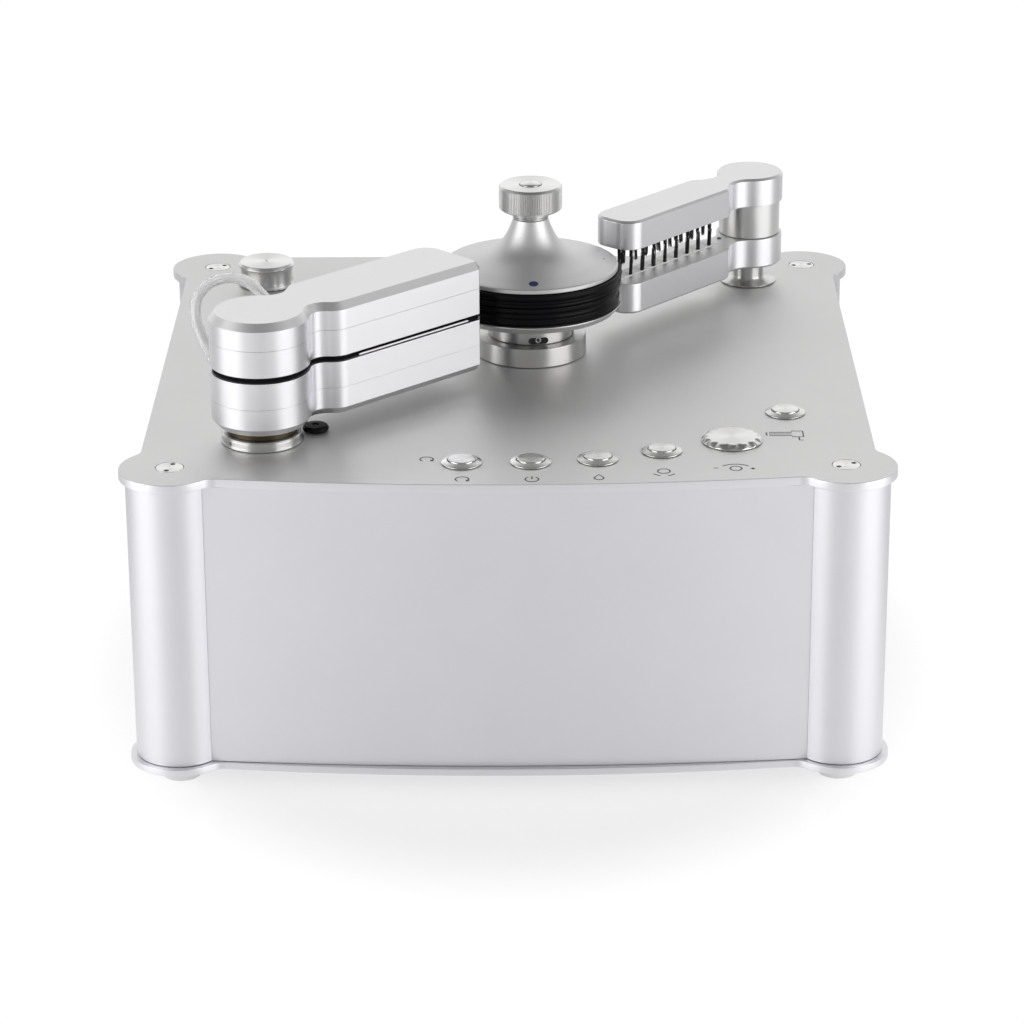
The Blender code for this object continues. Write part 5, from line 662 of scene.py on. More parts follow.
def make_clamp():
    """Bell-shaped clamp disc, with a blue mark and a flush dark disc on it as the painted shade of a dimple.
    """
    rim, neck, base, steps = 0.0483, 0.0096, 0.0515, 56
    edge, slope, flare, power = rim - 0.0006, 0.0095, 0.0167, 6.5

    def height_at(share):
        return base + slope * share + flare * share ** power

    shares = [sin(step / steps * pi / 2) for step in range(steps + 1)]
    bell = [(edge - (edge - neck) * share, height_at(share)) for share in shares]
    outer = [(0.0039, 0.0414), (0.0142, 0.0414), (0.0142, 0.0488), (rim - 0.0004, 0.0488),
             (rim, 0.0491), (rim, 0.0510), (rim - 0.0002, 0.0513)]
    inner = [(0.0053, height_at(1)), (0.0053, 0.0659), (0.0039, 0.0659)]
    turned_piece("clamp_bell", outer + bell + inner, "clamp_aluminium", "clamp_disc", sides=FINE_SIDES)
    # The dimple is a flush dark disc: painted shade, not a hollow.
    for name, radius, turn, size, finish in (("clamp_mark", 0.04175, -88, 0.0026, "blue_mark"),
                                             ("clamp_dimple_shade", 0.0405, 1, 0.0006, "dark_steel")):
        share = (edge - radius) / (edge - neck)
        lean = atan2(slope + flare * power * share ** (power - 1), edge - neck)
        place = (Matrix.Translation(PLATTER) @ Matrix.Rotation(radians(turn), 4, "Z")
                 @ Matrix.Translation((radius, 0, height_at(share))) @ Matrix.Rotation(lean, 4, "Y"))
        mark = soften([(0, -0.0003), (size, -0.0003), (size, 0.00006), (0, 0.00008)], 0.00005)
        turned_piece(name, mark, finish, body="clamp", place=place, sides=40)


KNURL_GROOVES, KNURL_DEPTH = 108, 0.00025


def make_knob():
    """Clamp knob with its collar, knurled rim and domed inset."""
    low, rim_z, top, rim = 0.0780, 0.0826, 0.0969, 0.0174
    dome_radius, dome_height = 0.0057, 0.0012
    body = [(0, 0.0662), (0.005, 0.0662), (0.005, low), (0.0098, low), (0.0100, 0.0792), (0.0105, 0.0800),
            (0.0105, rim_z), (0.0160, rim_z), (0.0170, rim_z + 0.0009)]
    knurl = [(rim, rim_z + 0.0013), (rim, top - 0.0013)]
    crown = [(0.0170, top - 0.0009), (0.0162, top), (0.0071, top), (0.0063, top - 0.0002),
             (0.0060, top - 0.0014), (dome_radius, top - 0.0014), (dome_radius, top)]
    dome = [(dome_radius * cos(a), top + dome_height * sin(a)) for a in np.linspace(0.1, pi / 2, 12)]
    dome[-1] = (0, top + dome_height)

    def wave(turn, radius, height):
        return -KNURL_DEPTH if radius == rim and cos(KNURL_GROOVES * turn) > 0.5 else 0

    turned_piece("knurled_knob", soften(body, 0.0003, 3) + knurl + soften(crown, 0.0003, 3) + dome,
                 "polished_steel", "clamp_knob", sides=4 * KNURL_GROOVES, wave=wave,
                 flat_finish="brushed_steel")


# Arms, in their own directions: X runs along an arm from its pivot
def arm_place(pivot, toe):
    """Place of an arm that points at the platter, apart from its toe."""
    return Matrix.Translation(pivot) @ Matrix.Rotation(angle_to(pivot, PLATTER) + toe, 4, "Z")


VACUUM_TOE, BRUSH_TOE = radians(-0.9), radians(4.4)
VACUUM_TIP_GAP, BRUSH_TIP_GAP = 0.0085, 0.0018
VACUUM_PLACE = arm_place(VACUUM_PIVOT, VACUUM_TOE)
BRUSH_PLACE = arm_place(BRUSH_PIVOT, BRUSH_TOE)
VACUUM_LENGTH = (PLATTER - VACUUM_PIVOT).length - SEAL_RIM - VACUUM_TIP_GAP
BRUSH_LENGTH = (PLATTER - BRUSH_PIVOT).length - SEAL_RIM - BRUSH_TIP_GAP
VACUUM_SHAPE = {"head": HEAD_RADIUS, "neck": 0.0156, "fillet": 0.0086, "shoulder": 0.012,
                "half_width": 0.0228, "length": VACUUM_LENGTH,
                "front_corner": (0.004, 1), "back_corner": (0.013, 18)}
BRUSH_SHAPE = {"head": 0.0191, "neck": 0.0082, "fillet": 0.014, "shoulder": 0.006,
               "half_width": 0.0147, "length": BRUSH_LENGTH,
               "front_corner": (0.0105, 16), "back_corner": (0.0105, 16)}
ARM_EDGE = 0.00025
SEAM, SEAM_EDGE = 0.00011, 0.00004
BUMPER_RADIUS, STOP_PIN_RADIUS = 0.007, 0.0013


def arm_outline(head, neck, fillet, shoulder, half_width, length, front_corner, back_corner, inset):
    """Arm seen from above: round head, drawn-in neck, shoulders and a straight blade."""
    neck_v = neck + fillet
    neck_u = sqrt((head + fillet) ** 2 - neck_v ** 2)
    shoulder_v = half_width - shoulder
    shoulder_u = neck_u + sqrt((fillet + shoulder) ** 2 - (neck_v - shoulder_v) ** 2)
    neck_centre, shoulder_centre = (neck_u, -neck_v), (shoulder_u, -shoulder_v)
    head_turn = atan2(neck_v, neck_u)
    meet = angle_to(neck_centre, shoulder_centre)

    def side(corner):
        radius, steps = corner
        points = arc(neck_centre, fillet + inset, pi - head_turn, meet, 14)[1:-1]
        points += arc(shoulder_centre, shoulder - inset, meet - pi, -pi / 2, 14)
        return points + arc((length - radius, radius - half_width), radius - inset, -pi / 2, 0, steps)

    round_head = arc((0, 0), head - inset, head_turn, 2 * pi - head_turn, 96)
    back = [(u, -v) for u, v in reversed(side(back_corner))]
    return round_head + side(front_corner) + back


def layer(shape, levels, cuts=(), joins=()):
    """One layer of an arm from (inset, height) levels, with its bores and nipples."""
    bm = lofted([lift(arm_outline(**shape, inset=inset), z) for inset, z in levels])
    for tools, operation in ((cuts, "DIFFERENCE"), (joins, "UNION")):
        if tools:
            tool = bmesh.new()
            for build in tools:
                build(tool)
            bm = carve(bm, tool, operation)
    return bm


def straight(low, high):
    """Levels of a plain layer with fine broken edges, which make its seams."""
    return [(SEAM_EDGE, low), (0, low + SEAM_EDGE), (0, high - SEAM_EDGE), (SEAM_EDGE, high)]


def bar(start, end, radius, sides):
    """Tool for a round bar."""
    return lambda bm: add_rod(bm, start, end, radius, sides)


def bore(radius, low, high):
    """Tool for a round bore about the arm's axis."""
    return lambda bm: add_turned(bm, disc(radius, low, high), sides=48)


def block(low, high):
    """Tool for a straight groove."""
    return lambda bm: add_block(bm, low, high)


def nipple(spot, angle):
    """Tools for a short stepped nipple for the hose."""
    way = toward(angle)
    return [bar(spot - way * 0.006, spot + way * (PORT_LENGTH - 0.0007), 0.004, 40),
            bar(spot, spot + way * PORT_LENGTH, 0.0034, 40)]


def suction_slot(low, high):
    """Tool for the long slot that draws off the fluid."""
    return block((0.050, -0.0012, low), (0.1274, 0.0012, high))


LOWER_PORT = (toward(LOWER_PORT_ANGLE) * HEAD_RADIUS + Vector((0, 0, LOWER_PORT_HEIGHT)), LOWER_PORT_ANGLE)


def make_vacuum_arm():
    """Base, bush, four layers with hairline seams, velvet lips and the bright slot strip."""
    base = [(0.004, -0.0228), (0.014, -0.0228), (0.014, GAP), (0.0217, GAP), (0.0217, 0.0012),
            (0.0213, 0.0016), (0.0213, 0.0044), (0.0205, 0.0054), (0.009, 0.0054), (0.009, 0.030),
            (0.004, 0.030)]
    tool = bmesh.new()
    spot, way = Vector((0, 0, 0.0029)), toward(radians(-137))
    add_rod(tool, spot + way * 0.0195, spot + way * 0.024, 0.0010, 24)
    make_piece("arm_base", carve(turned(soften(base, 0.0003), 128), tool), "polished_steel",
               "vacuum_arm_base", VACUUM_PIVOT)
    bush = [(0.0093, 0.0057), (0.0187, 0.0057), (0.0187, 0.0099), (0.0093, 0.0099)]
    turned_piece("bronze_bush", soften(bush), "bronze", "vacuum_arm_bush", VACUUM_PIVOT)
    stop = VACUUM_PLACE.inverted() @ BUMPER + Vector((0, BUMPER_RADIUS + GAP + STOP_PIN_RADIUS, 0))
    stop_pin = bar(stop + Vector((0, 0, 0.0021)), stop + Vector((0, 0, 0.0140)), STOP_PIN_RADIUS, 24)
    post, pin_bore = bore(0.0093, 0.008, 0.0303), bore(PIN_BORE, 0.041, 0.0584)

    def lips(low):
        levels = [(0.0013, low), (0.0011, low + 0.0002), (0.0011, low + 0.001), (0.0013, low + 0.0012)]
        ends = low - OVERRUN, low + 0.004
        return "black_velvet", levels, [bore(PIN_BORE, *ends), suction_slot(*ends)], ()

    layers = {
        "lower_cover": ("bright_aluminium", [(0.0032, 0.0102), (0, 0.0141), (0, 0.0251 + SEAM - SEAM_EDGE),
                                             (SEAM_EDGE, 0.0251 + SEAM)], [post], [stop_pin]),
        "lower_block": ("bright_aluminium", straight(0.0254 - SEAM, 0.0396),
                        [post, bore(PIN_BORE, 0.0341, 0.042), suction_slot(0.0336, 0.042)],
                        nipple(*LOWER_PORT)),
        "lower_lips": lips(0.0399),
        "upper_lips": lips(0.0414),
        "upper_block": ("bright_aluminium", straight(0.0429, 0.0571 + SEAM),
                        [pin_bore, suction_slot(0.041, 0.0489)], ()),
        "upper_cover": ("bright_aluminium", [(SEAM_EDGE, 0.0574 - SEAM), (0, 0.0574 + SEAM_EDGE - SEAM),
                                             (0, 0.0678), (0.0032, 0.0717)], [pin_bore], nipple(*UPPER_PORT)),
    }
    for name, (finish, *build) in layers.items():
        options = {"bevel": ARM_EDGE, "flat_finish": "blasted_aluminium"} if "cover" in name else {}
        make_piece(name, layer(VACUUM_SHAPE, *build), finish, "vacuum_arm_" + name, VACUUM_PLACE, **options)
    turned_piece("guide_pin", soften(disc(0.006, 0.0344, 0.0581)), "dark_steel", "vacuum_arm_guide_pin",
                 VACUUM_PLACE, 48)
    end = arc((0, 0), 0.00045, -pi / 2, pi / 2, 6)
    strip = [(0.1266 + u, v) for u, v in end] + [(0.0495 - u, v) for u, v in reversed(end)]
    make_piece("slot_strip", lofted([[(u, y, 0.04065 + v) for u, v in strip] for y in (-0.0222, -0.0216)]),
               "bright_aluminium", place=VACUUM_PLACE, body="vacuum_arm")


PAD_START = 0.032
PAD_END = BRUSH_LENGTH - 0.0034
PAD_EDGE, PAD_CORNER = 0.0003, 0.0008
TUFT_START, TUFT_END_MARGIN, TUFT_COUNT, TUFT_STRANDS = 0.0383, 0.00705, 9, 40


def make_brush_arm():
    """Dished post, two arms with a spacer between, pads and bristle tufts."""
    dish = [(0.009 + 0.0072 * (1 - sin(a)), 0.001 + 0.0032 * (1 - cos(a)))
            for a in np.linspace(0.05, pi / 2, 10)]
    post = [(0.002, -0.0188), (0.008, -0.0188), (0.008, GAP), (0.0158, GAP), (0.0162, 0.0006)]
    shaft = [(0.009, 0.006), (0.009, 0.0125), (0.006, 0.0125), (0.006, 0.0615), (0.002, 0.0615)]
    turned_piece("dished_post", soften(post, 0.0003) + dish + soften(shaft, 0.0003), "polished_steel",
                 "brush_arm_base", BRUSH_PIVOT)
    pin, edge, seam = bore(PIN_BORE, 0.01, 0.0618), 0.0013, 0.0002
    near, far = (PAD_START - GAP, -0.0081), PAD_END + GAP
    arms = (("lower", [(edge, 0.0128), (0, 0.0128 + edge), (0, 0.0304 - seam), (seam, 0.0304)],
             block((*near, 0.0281), (far, 0.0025, 0.034)), "deck_aluminium"),
            ("upper", [(seam, 0.0505), (0, 0.0505 + seam), (0, 0.0671 - edge), (edge, 0.0671)],
             block((*near, 0.048), (far, 0.0081, 0.0528)), "blasted_aluminium"))
    for name, levels, groove, flat_finish in arms:
        make_piece(name + "_brush_arm", layer(BRUSH_SHAPE, levels, [pin, groove]), "bright_aluminium",
                   "brush_arm_" + name, BRUSH_PLACE, bevel=ARM_EDGE, flat_finish=flat_finish)
    spacer = [(PIN_BORE, 0.0307), (0.0176, 0.0307), (0.0176, 0.0502), (PIN_BORE, 0.0502)]
    turned_piece("spacer", soften(spacer, 0.0003), "spacer_aluminium", "brush_arm_spacer", BRUSH_PLACE)
    screw = bmesh.new()
    add_turned(screw, soften([(0, 0.0302), (0.0013, 0.0302), (0.0013, 0.0309), (0.0006, 0.0309),
                              (0.0005, 0.0305), (0, 0.0305)], 0.0001), (0.0234, -0.0036, 0), 32)
    make_piece("arm_screw", screw, "dark_steel", place=BRUSH_PLACE, body="brush_arm")
    make_brush("lower", random.Random(39), (-0.0078, 0.0022), (0.0284, 0.0308),
               [(0.0008, 0, 0)], 0.0302, 0.0408)
    make_brush("upper", random.Random(41), (-0.0078, 0.0078), (0.0501, 0.0525),
               [(0.0008, 0, 0), (0.0055, 0.0018, 1)], 0.0507, 0.0414)


def make_brush(name, picks, sides, heights, rows, root, tip):
    """White pad let into an arm, and its rows of bristle tufts."""
    levels = []
    for inset, z in ((PAD_EDGE, heights[0]), (0, heights[0] + PAD_EDGE), (0, heights[1] - PAD_EDGE),
                     (PAD_EDGE, heights[1])):
        low, high = (PAD_START + inset, sides[0] + inset), (PAD_END - inset, sides[1] - inset)
        ring = []
        for turn, (x, y) in enumerate(((high[0], low[1]), high, (low[0], high[1]), low)):
            centre = (x + PAD_CORNER * (1 if x == low[0] else -1),
                      y + PAD_CORNER * (1 if y == low[1] else -1))
            ring += arc(centre, PAD_CORNER, (turn - 1) * pi / 2, turn * pi / 2, 5)
        levels.append(lift(ring, z))
    node = name + "_brush_strip"
    make_piece(name + "_pad", lofted(levels), "brush_pad", node, BRUSH_PLACE)
    spacing = (BRUSH_LENGTH - TUFT_END_MARGIN - TUFT_START) / (TUFT_COUNT - 1)
    bm = bmesh.new()
    for row_v, shift, first in rows:
        for tuft in range(first, TUFT_COUNT):
            lean_u, lean_v = picks.uniform(-0.0014, 0.0004), picks.uniform(-0.0004, 0.0004)
            middle = Vector((TUFT_START + shift + tuft * spacing, row_v, root))
            for _ in range(TUFT_STRANDS):
                angle, reach = picks.uniform(0, 2 * pi), sqrt(picks.random()) * 0.0012
                start = middle + Vector((reach * cos(angle), reach * 0.8 * sin(angle), 0))
                flare = picks.uniform(0.5, 1.0)
                end = Vector((start.x + lean_u * flare + picks.uniform(-0.0003, 0.0003),
                              start.y + lean_v * flare + picks.uniform(-0.0003, 0.0003),
                              tip + (root - tip) * picks.uniform(-0.10, 0.05)))
                curl = Vector((picks.uniform(-0.0004, 0.0004), picks.uniform(-0.0003, 0.0003), 0))
                add_strand(bm, start, (start + end) / 2 + curl, end)
    make_piece(name + "_bristles", bm, "bristle", node, BRUSH_PLACE)


STRAND_RADIUS, STRAND_TAPER, STRAND_STEPS = 0.00017, 0.45, 4


def add_strand(bm, start, middle, end):
    """One bristle along a bent line, thinner at its tip."""
    rings = []
    for step in range(STRAND_STEPS + 1):
        t = step / STRAND_STEPS
        spot, radius = bend(start, middle, end, t), STRAND_RADIUS * (1 - STRAND_TAPER * t)
        rings.append([(spot.x + radius * cos(a), spot.y + radius * sin(a), spot.z)
                      for a in (0, 2 * pi / 3, 4 * pi / 3)])
    add_loft(bm, rings)


# Suction hose
ROUTE_STEPS, PATH_POINTS = 40, 33


def smooth_route(points, count):
    """Evenly spaced points of a curve through the route, straight at both ends."""
    route = np.array(points)
    steps = np.linalg.norm(np.diff(route, axis=0), axis=1)
    slopes = np.diff(route, axis=0) / steps[:, None]
    system, right = np.eye(len(route)), np.vstack((slopes, slopes[-1]))
    for i in range(1, len(steps)):
        system[i, i - 1:i + 2] = steps[i], 2 * (steps[i - 1] + steps[i]), steps[i - 1]
        right[i] = 3 * (steps[i] * slopes[i - 1] + steps[i - 1] * slopes[i])
    tangents = np.linalg.solve(system, right)
    dense = []
    for i in range(len(steps)):
        for t in np.linspace(0, 1, ROUTE_STEPS, endpoint=False):
            low, high = (1 + 2 * t) * (1 - t) ** 2, t * t * (3 - 2 * t)
            rise, fall = t * (1 - t) ** 2, t * t * (t - 1)
            dense.append(low * route[i] + high * route[i + 1]
                         + steps[i] * (rise * tangents[i] + fall * tangents[i + 1]))
    dense = np.array(dense + [route[-1]])
    lengths = np.concatenate(([0], np.cumsum(np.linalg.norm(np.diff(dense, axis=0), axis=1))))
    wanted = np.linspace(0, lengths[-1], count)
    return [Vector([np.interp(w, lengths, dense[:, axis]) for axis in range(3)]) for w in wanted]


def make_hose():
    """Clear hose from the upper half of the vacuum arm round to its lower half."""
    near = PORT_LENGTH + GAP
    far = near + 2 * HOSE_RADIUS
    (first, second), (fourth, third) = [[spot + toward(angle) * reach for reach in (near, far)]
                                        for spot, angle in (UPPER_PORT, LOWER_PORT)]
    path = [first, *smooth_route([second, *HOSE_ROUTE, third], PATH_POINTS), fourth]
    path = [VACUUM_PLACE @ point for point in path]
    bm = bmesh.new()
    side = Vector((0, 0, 1))
    tubes = {HOSE_RADIUS: [], HOSE_BORE: []}
    for i, centre in enumerate(path):
        along = (path[min(i + 1, len(path) - 1)] - path[max(i - 1, 0)]).normalized()
        side = (side - along * along.dot(side)).normalized()
        up = along.cross(side)
        for radius, rings in tubes.items():
            rings.append([bm.verts.new(centre + radius * (side * cos(a) + up * sin(a)))
                          for a in np.linspace(0, 2 * pi, HOSE_SIDES, endpoint=False)])
    outer, inner = tubes.values()
    loop = outer + inner[::-1] + [outer[0]]
    for low, high in zip(loop, loop[1:]):
        add_band(bm, low, high)
    bmesh.ops.recalc_face_normals(bm, faces=bm.faces)
    hose = new_object("clear_suction_hose", bm, radians(50))
    hose.data.materials.append(FINISHES["clear_hose"])
    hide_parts("suction_hose")
    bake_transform(hose)


# Controls
HOUSING_LOW = -0.0248
BRACKET_HALF_WIDTH, BRACKET_THICKNESS = 0.004, 0.002
SCALLOPS, SCALLOP_DEPTH, SCALLOP_POWER = 14, 0.0013, 1.5
SCALLOP_LOW, SCALLOP_RISE, SCALLOP_INNER = 0.0008, 0.0012, 0.0105
FLUTES, FLUTE_DEPTH = 18, 0.0005


def make_buttons():
    """Push buttons in bevelled housings, and the bracket that carries the housings."""
    housing = [(0, HOUSING_LOW), (0.0092, HOUSING_LOW), (0.0092, GAP), (0.0107, GAP), (0.0107, 0.0007),
               (0.0104, 0.00095), (0.0080, 0.0018), (0.0075, 0.0018), (0.0075, -0.0053), (0, -0.0053)]
    cap = [(0, -0.0038), (0.0072, -0.0038), (0.0072, 0.0021), (0.0068, 0.0026), (0.0040, 0.0027),
           (0, 0.0027)]
    bm = bmesh.new()
    for name, centre in BUTTONS.items():
        add_turned(bm, soften(housing, 0.0002), centre, 72)
        turned_piece(name + "_cap", soften(cap, 0.0004, 5), "brushed_steel", name, centre, 72)
    route = list(BUTTONS.values())
    left, right = [], []
    for spot, before, after in zip(route, route[:1] + route, route[1:] + route[-1:]):
        along = after - before
        across = Vector((-along.y, along.x, 0)).normalized() * BRACKET_HALF_WIDTH
        left.append((spot + across).xy)
        right.append((spot - across).xy)
    bracket = DECK_Z + HOUSING_LOW + 0.001
    add_loft(bm, [lift(right + left[::-1], z) for z in (bracket, bracket + BRACKET_THICKNESS)])
    make_piece("bezels", bm, "brushed_steel", "button_housings")


def make_knobs():
    """Scalloped speed knob, rubber bumper, spool-shaped filler cap and fluted drain plug."""
    def scallops(turn, radius, height):
        if height < SCALLOP_LOW or radius < SCALLOP_INNER:
            return 0
        return (-SCALLOP_DEPTH * (0.5 + 0.5 * cos(SCALLOPS * turn)) ** SCALLOP_POWER
                * min(1, (height - SCALLOP_LOW) / SCALLOP_RISE))

    def flutes(turn, radius, height):
        return -FLUTE_DEPTH * (0.5 + 0.5 * cos(FLUTES * turn)) if radius > 0.0078 and height > 0.0004 else 0

    knob = [(0, -0.011), (0.003, -0.011), (0.003, GAP), (0.0160, GAP), (0.0160, 0.0009), (0.0158, 0.0012),
            (0.0152, 0.0019), (0.0146, 0.0024), (0.0139, 0.0028), (0.0128, 0.0030), (0.0104, 0.0029),
            (0.0060, 0.0028), (0, 0.0028)]
    turned_piece("scalloped_knob", soften(knob, 0.0002, 2), "brushed_steel", "speed_knob", SPEED_KNOB,
                 16 * SCALLOPS, scallops)
    puck = [(0, -0.0045), (0.002, -0.0045), (0.002, GAP), (0.0064, GAP), (0.007, 0.0011), (0.007, 0.0022),
            (0.0061, 0.0033), (0.0022, 0.0034), (0.0016, 0.0028), (0, 0.0028)]
    turned_piece("rubber_bumper", soften(puck), "black_rubber", "arm_stop_bumper", BUMPER)
    cap = [(0, -0.010), (0.0097, -0.010), (0.0097, GAP), (0.0160, GAP), (0.0164, 0.0006), (0.0164, 0.0011),
           (0.0157, 0.0021), (0.0151, 0.0036), (0.0149, 0.0062), (0.0151, 0.0092), (0.0157, 0.0113),
           (0.0164, 0.0121), (0.0164, 0.0126), (0.0151, 0.0142), (0.0008, 0.0142), (0, 0.0135)]
    turned_piece("filler_spool", soften(cap, 0.0003, 3), "polished_steel", "filler_cap", FILLER, 128,
                 flat_finish="turned_aluminium")
    reach = 0.0053
    plug = [(0, -0.012), (0.0044, -0.012), (0.0047, -0.0115), (0.0047, GAP), (0.009, GAP), (0.009, 0.0045),
            (0.0082, reach), (0.0050, reach), (0.0046, 0.0048), (0, 0.0048)]
    low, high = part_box("drain_plug")
    centre = Vector(((low.x + high.x) / 2, high.y - reach, (low.z + high.z) / 2))
    turned_piece("fluted_plug", soften(plug, 0.0003, 3), "black_plastic", "drain_plug",
                 Matrix.Translation(centre) @ Matrix.Rotation(-pi / 2, 4, "X"), 8 * FLUTES, flutes)


# Generic signs on the deck
SIGN_WIDTH = 0.00078
SIGN_LOW, SIGN_HIGH = DECK_Z - 0.0001, DECK_Z + 0.00006
TURN_SIGNS = ((-0.0233, -0.1846), (-0.0420, -0.1560))
TURN_SIGN_RADIUS, TURN_SIGN_START, TURN_SIGN_END = 0.0034, radians(-50), radians(230)
POWER_SIGN = (0.0123, -0.1850)
DROP_SIGN = (0.0465, -0.1835)
PLATTER_SIGN = (0.0799, -0.1742)
SPEED_SIGN = (0.1170, -0.1707)


def add_stroke(bm, points, closed=False):
    """Flat line with a little height."""
    spots = [Vector((x, y, 0)) for x, y in points]
    count = len(spots)
    rings = []
    for i, spot in enumerate(spots):
        before = spots[i - 1] if i or closed else spot
        after = spots[(i + 1) % count] if i < count - 1 or closed else spot
        along = (after - before).normalized()
        across = Vector((-along.y, along.x, 0)) * SIGN_WIDTH / 2
        left, right = spot + across, spot - across
        rings.append([bm.verts.new((p.x, p.y, z)) for p, z in ((left, SIGN_LOW), (right, SIGN_LOW),
                                                               (right, SIGN_HIGH), (left, SIGN_HIGH))])
    for low, high in zip(rings, rings[1:] + rings[:1] if closed else rings[1:]):
        add_band(bm, low, high)
    if not closed:
        bm.faces.new(rings[0][::-1])
        bm.faces.new(rings[-1])


def make_signs():
    """Plain signs beside the controls, without words."""
    bm = bmesh.new()
    for centre in TURN_SIGNS:
        circle = arc(centre, TURN_SIGN_RADIUS, TURN_SIGN_START, TURN_SIGN_END, 30)
        tip = circle[0]
        add_stroke(bm, circle)
        add_stroke(bm, [(tip[0] + 0.0016, tip[1] + 0.0002), tip, (tip[0] + 0.0001, tip[1] + 0.0018)])
    add_stroke(bm, arc(POWER_SIGN, 0.0034, radians(125), radians(415), 30))
    add_stroke(bm, [(POWER_SIGN[0], -0.1810), (POWER_SIGN[0], -0.1846)])
    add_stroke(bm, [(DROP_SIGN[0], -0.1785)] + arc(DROP_SIGN, 0.0024, radians(20), radians(-200), 20), True)
    add_stroke(bm, arc(PLATTER_SIGN, 0.0032, 0, 2 * pi, 36)[:-1], True)
    for start, sweep in ((215, 38), (-35, -38)):
        add_stroke(bm, arc(PLATTER_SIGN, 0.0066, radians(start), radians(start + sweep), 10))
    add_stroke(bm, arc(SPEED_SIGN, 0.0030, 0, 2 * pi, 36)[:-1], True)
    add_stroke(bm, arc((SPEED_SIGN[0], -0.1745), 0.0098, radians(48), radians(132), 18))
    minus = [(0.1056, -0.1701), (0.1080, -0.1701)]
    plus = [(0.1245, -0.1710), (0.1269, -0.1710)], [(0.1257, -0.1722), (0.1257, -0.1698)]
    arm = [(0.1375, -0.1232), (0.1375, -0.1184), (0.1490, -0.1184), (0.1490, -0.1165), (0.1549, -0.1165),
           (0.1549, -0.1251), (0.1490, -0.1251), (0.1490, -0.1232)]
    arm_lines = ([(0.1380, -0.1208), (0.1488, -0.1208)], [(0.1357, -0.1230), (0.1357, -0.1186)],
                 [(0.1525, -0.1257), (0.1525, -0.1300), (0.1545, -0.1300)])
    for line in (minus, *plus):
        add_stroke(bm, line)
    add_stroke(bm, arm, True)
    for line in arm_lines:
        add_stroke(bm, line)
    make_piece("deck_signs", bm, "etching", body="case")


# CAD nodes that stay
SOFT_EDGES = {"left_side_panel": 0.0003, "right_side_panel": 0.0003, "rear_panel": 0.0003,
              "mains_inlet": 0.0004, "mains_rocker": 0.0004}


def dress_cad_nodes():
    """Gives each shown CAD node its material, and the boxy outer ones soft edges."""
    for name, node in NODES.items():
        if node.hide_render:
            continue
        node.data.materials.clear()
        node.data.materials.append(FINISHES[SLOTS[name]])
    for name, width in SOFT_EDGES.items():
        NODES[name].modifiers.new("weld", "WELD").merge_threshold = 20 * MICRON
        add_bevel(NODES[name], width, radians(40))


# Studio
FLOOR_REACH = 7.0
FLOOR_COLOUR = (0.97, 0.97, 0.97, 1)
SHADOW_STRETCH = (1.3, 1, 1)
GLOW_START, GLOW_FULL, LEAST_GLOW, GLOW_STRENGTH = 0.24, 0.34, 0.56, 1.03
LAMPS = {"lamp_left": radians(-62), "lamp_right": radians(62)}
LAMP_REACH, LAMP_HEIGHT, LAMP_AIM = 1.5, 0.62, Vector((0, 0, 0.12))
LAMP_WIDTH, LAMP_RISE, LAMP_POWER = 1.4, 1.05, 11.0
WHITE = (1, 1, 1, 1)


def seen_by(nodes):
    """1 for what the camera sees, straight or through clear plastic; in reflections less, and painted
    brighter beside the machine and darker behind it.
    """
    path = nodes.add("LightPath").outputs
    x, y, _ = nodes.add("SeparateXYZ", nodes.add("TexCoord").outputs["Object"]).outputs
    # Painted light: the floor glows more in reflections beside the machine than in front, and hardly at all
    # behind it.
    beside = nodes.ramp(nodes.math("ABSOLUTE", x), 0.0, 0.35, 0.5, 0.95)
    behind = nodes.ramp(y, -0.15, 0.15, 1.0, 0.1)
    share = nodes.math("MULTIPLY", path["Is Glossy Ray"], nodes.math("MULTIPLY", beside, behind))
    for kind in ("Is Camera Ray", "Is Transmission Ray"):
        share = nodes.math("MAXIMUM", share, path[kind])
    return share


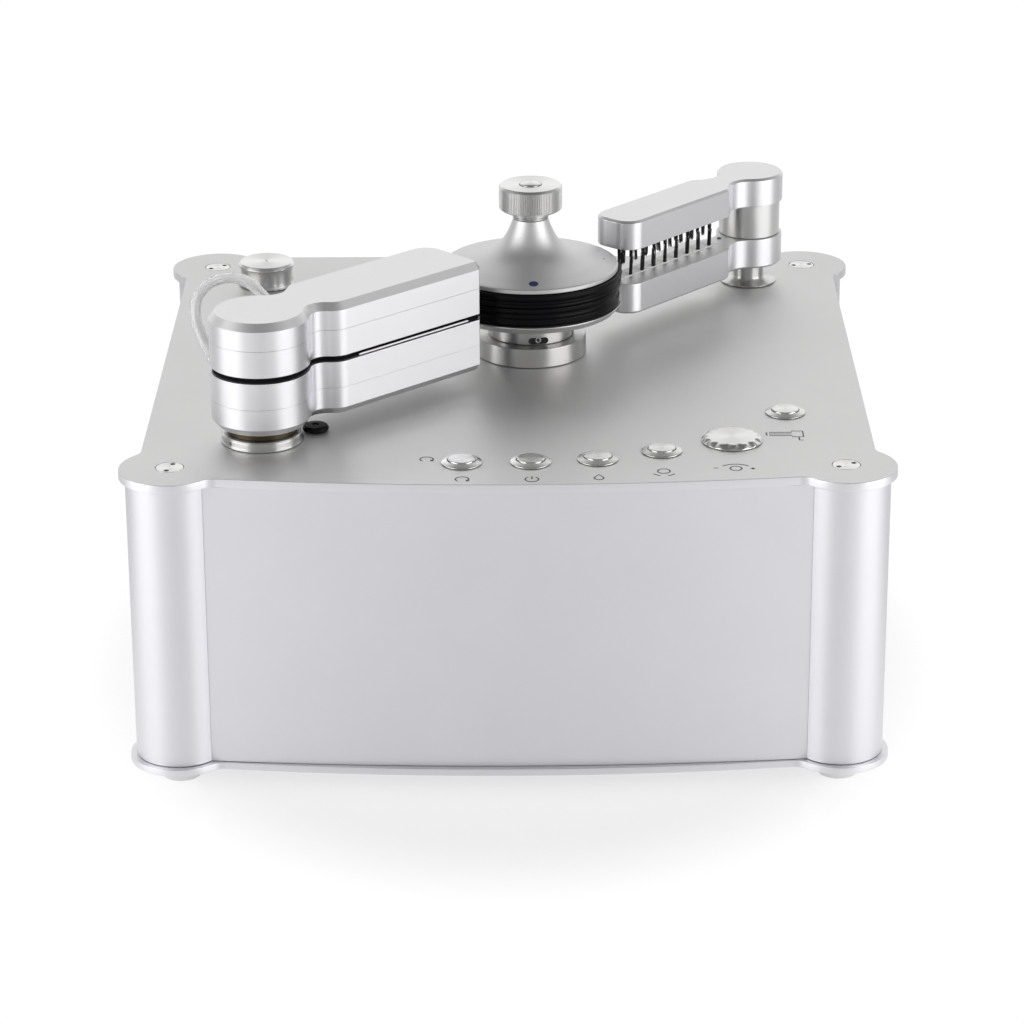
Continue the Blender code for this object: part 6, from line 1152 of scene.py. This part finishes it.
def make_floor():
    """Pale floor, which glows for the camera away from the machine and keeps its soft shadow."""
    floor = new_object("studio_floor", lofted([lift(arc((0, 0), FLOOR_REACH, 0, 2 * pi, 96)[:-1], z)
                                               for z in (-0.02, -0.0002)]))
    material = bpy.data.materials.new("studio_floor")
    nodes = Nodes(material)
    shader = nodes.tree.nodes["Principled BSDF"]
    for key, value in (("Base Color", FLOOR_COLOUR), ("Roughness", 0.2), ("IOR", 1.6)):
        nodes.feed(shader.inputs[key], value)
    wide = nodes.add("Mapping", nodes.add("TexCoord").outputs["Object"], Scale=SHADOW_STRETCH)
    away = nodes.ramp(nodes.length(wide.outputs["Vector"]), GLOW_START, GLOW_FULL, LEAST_GLOW, 1.0)
    share = nodes.math("MULTIPLY", seen_by(nodes), away)
    glow = nodes.add("Emission", Strength=GLOW_STRENGTH)
    mix = nodes.add("MixShader", share, shader.outputs[0], glow.outputs[0])
    nodes.feed(nodes.tree.nodes["Material Output"].inputs["Surface"], mix.outputs[0])
    floor.data.materials.append(material)


def make_lamps():
    """Two large soft lamps in front, left and right."""
    for name, turn in LAMPS.items():
        lamp = bpy.data.lights.new(name, "AREA")
        lamp.shape, lamp.size, lamp.size_y, lamp.energy = "RECTANGLE", LAMP_WIDTH, LAMP_RISE, LAMP_POWER
        obj = bpy.data.objects.new(name, lamp)
        bpy.context.scene.collection.objects.link(obj)
        obj.location = Vector((LAMP_REACH * sin(turn), -LAMP_REACH * cos(turn), LAMP_HEIGHT))
        obj.rotation_euler = (LAMP_AIM - obj.location).to_track_quat("-Z", "Y").to_euler()


def make_sky():
    """World: white for the camera, and softly graded for the light on the object."""
    world = bpy.data.worlds.new("studio")
    bpy.context.scene.world = world
    nodes = Nodes(world)
    _, y, z = nodes.add("SeparateXYZ", nodes.add("TexCoord").outputs["Generated"]).outputs
    behind = nodes.ramp(y, 0.35, 0.85, 0.0, 0.72)
    below_top = nodes.ramp(z, 0.6, 1.0, 1.0, 0.15)
    rise = nodes.ramp(z, 0.60, 0.92, 0.42, 0.16)
    level = nodes.math("ADD", nodes.math("MULTIPLY", behind, below_top), rise)
    background = nodes.tree.nodes["Background"]
    nodes.feed(background.inputs["Strength"],
               nodes.math("MAXIMUM", level, nodes.add("LightPath").outputs["Is Camera Ray"]))
    nodes.feed(background.inputs["Color"], WHITE)


make_camera()
make_hose()
make_plates()
make_walls()
make_feet()
make_platter()
make_clamp()
make_knob()
make_vacuum_arm()
make_brush_arm()
make_buttons()
make_knobs()
make_signs()
dress_cad_nodes()
make_floor()
make_lamps()
make_sky()
bpy.context.scene.view_settings.view_transform = "Standard"
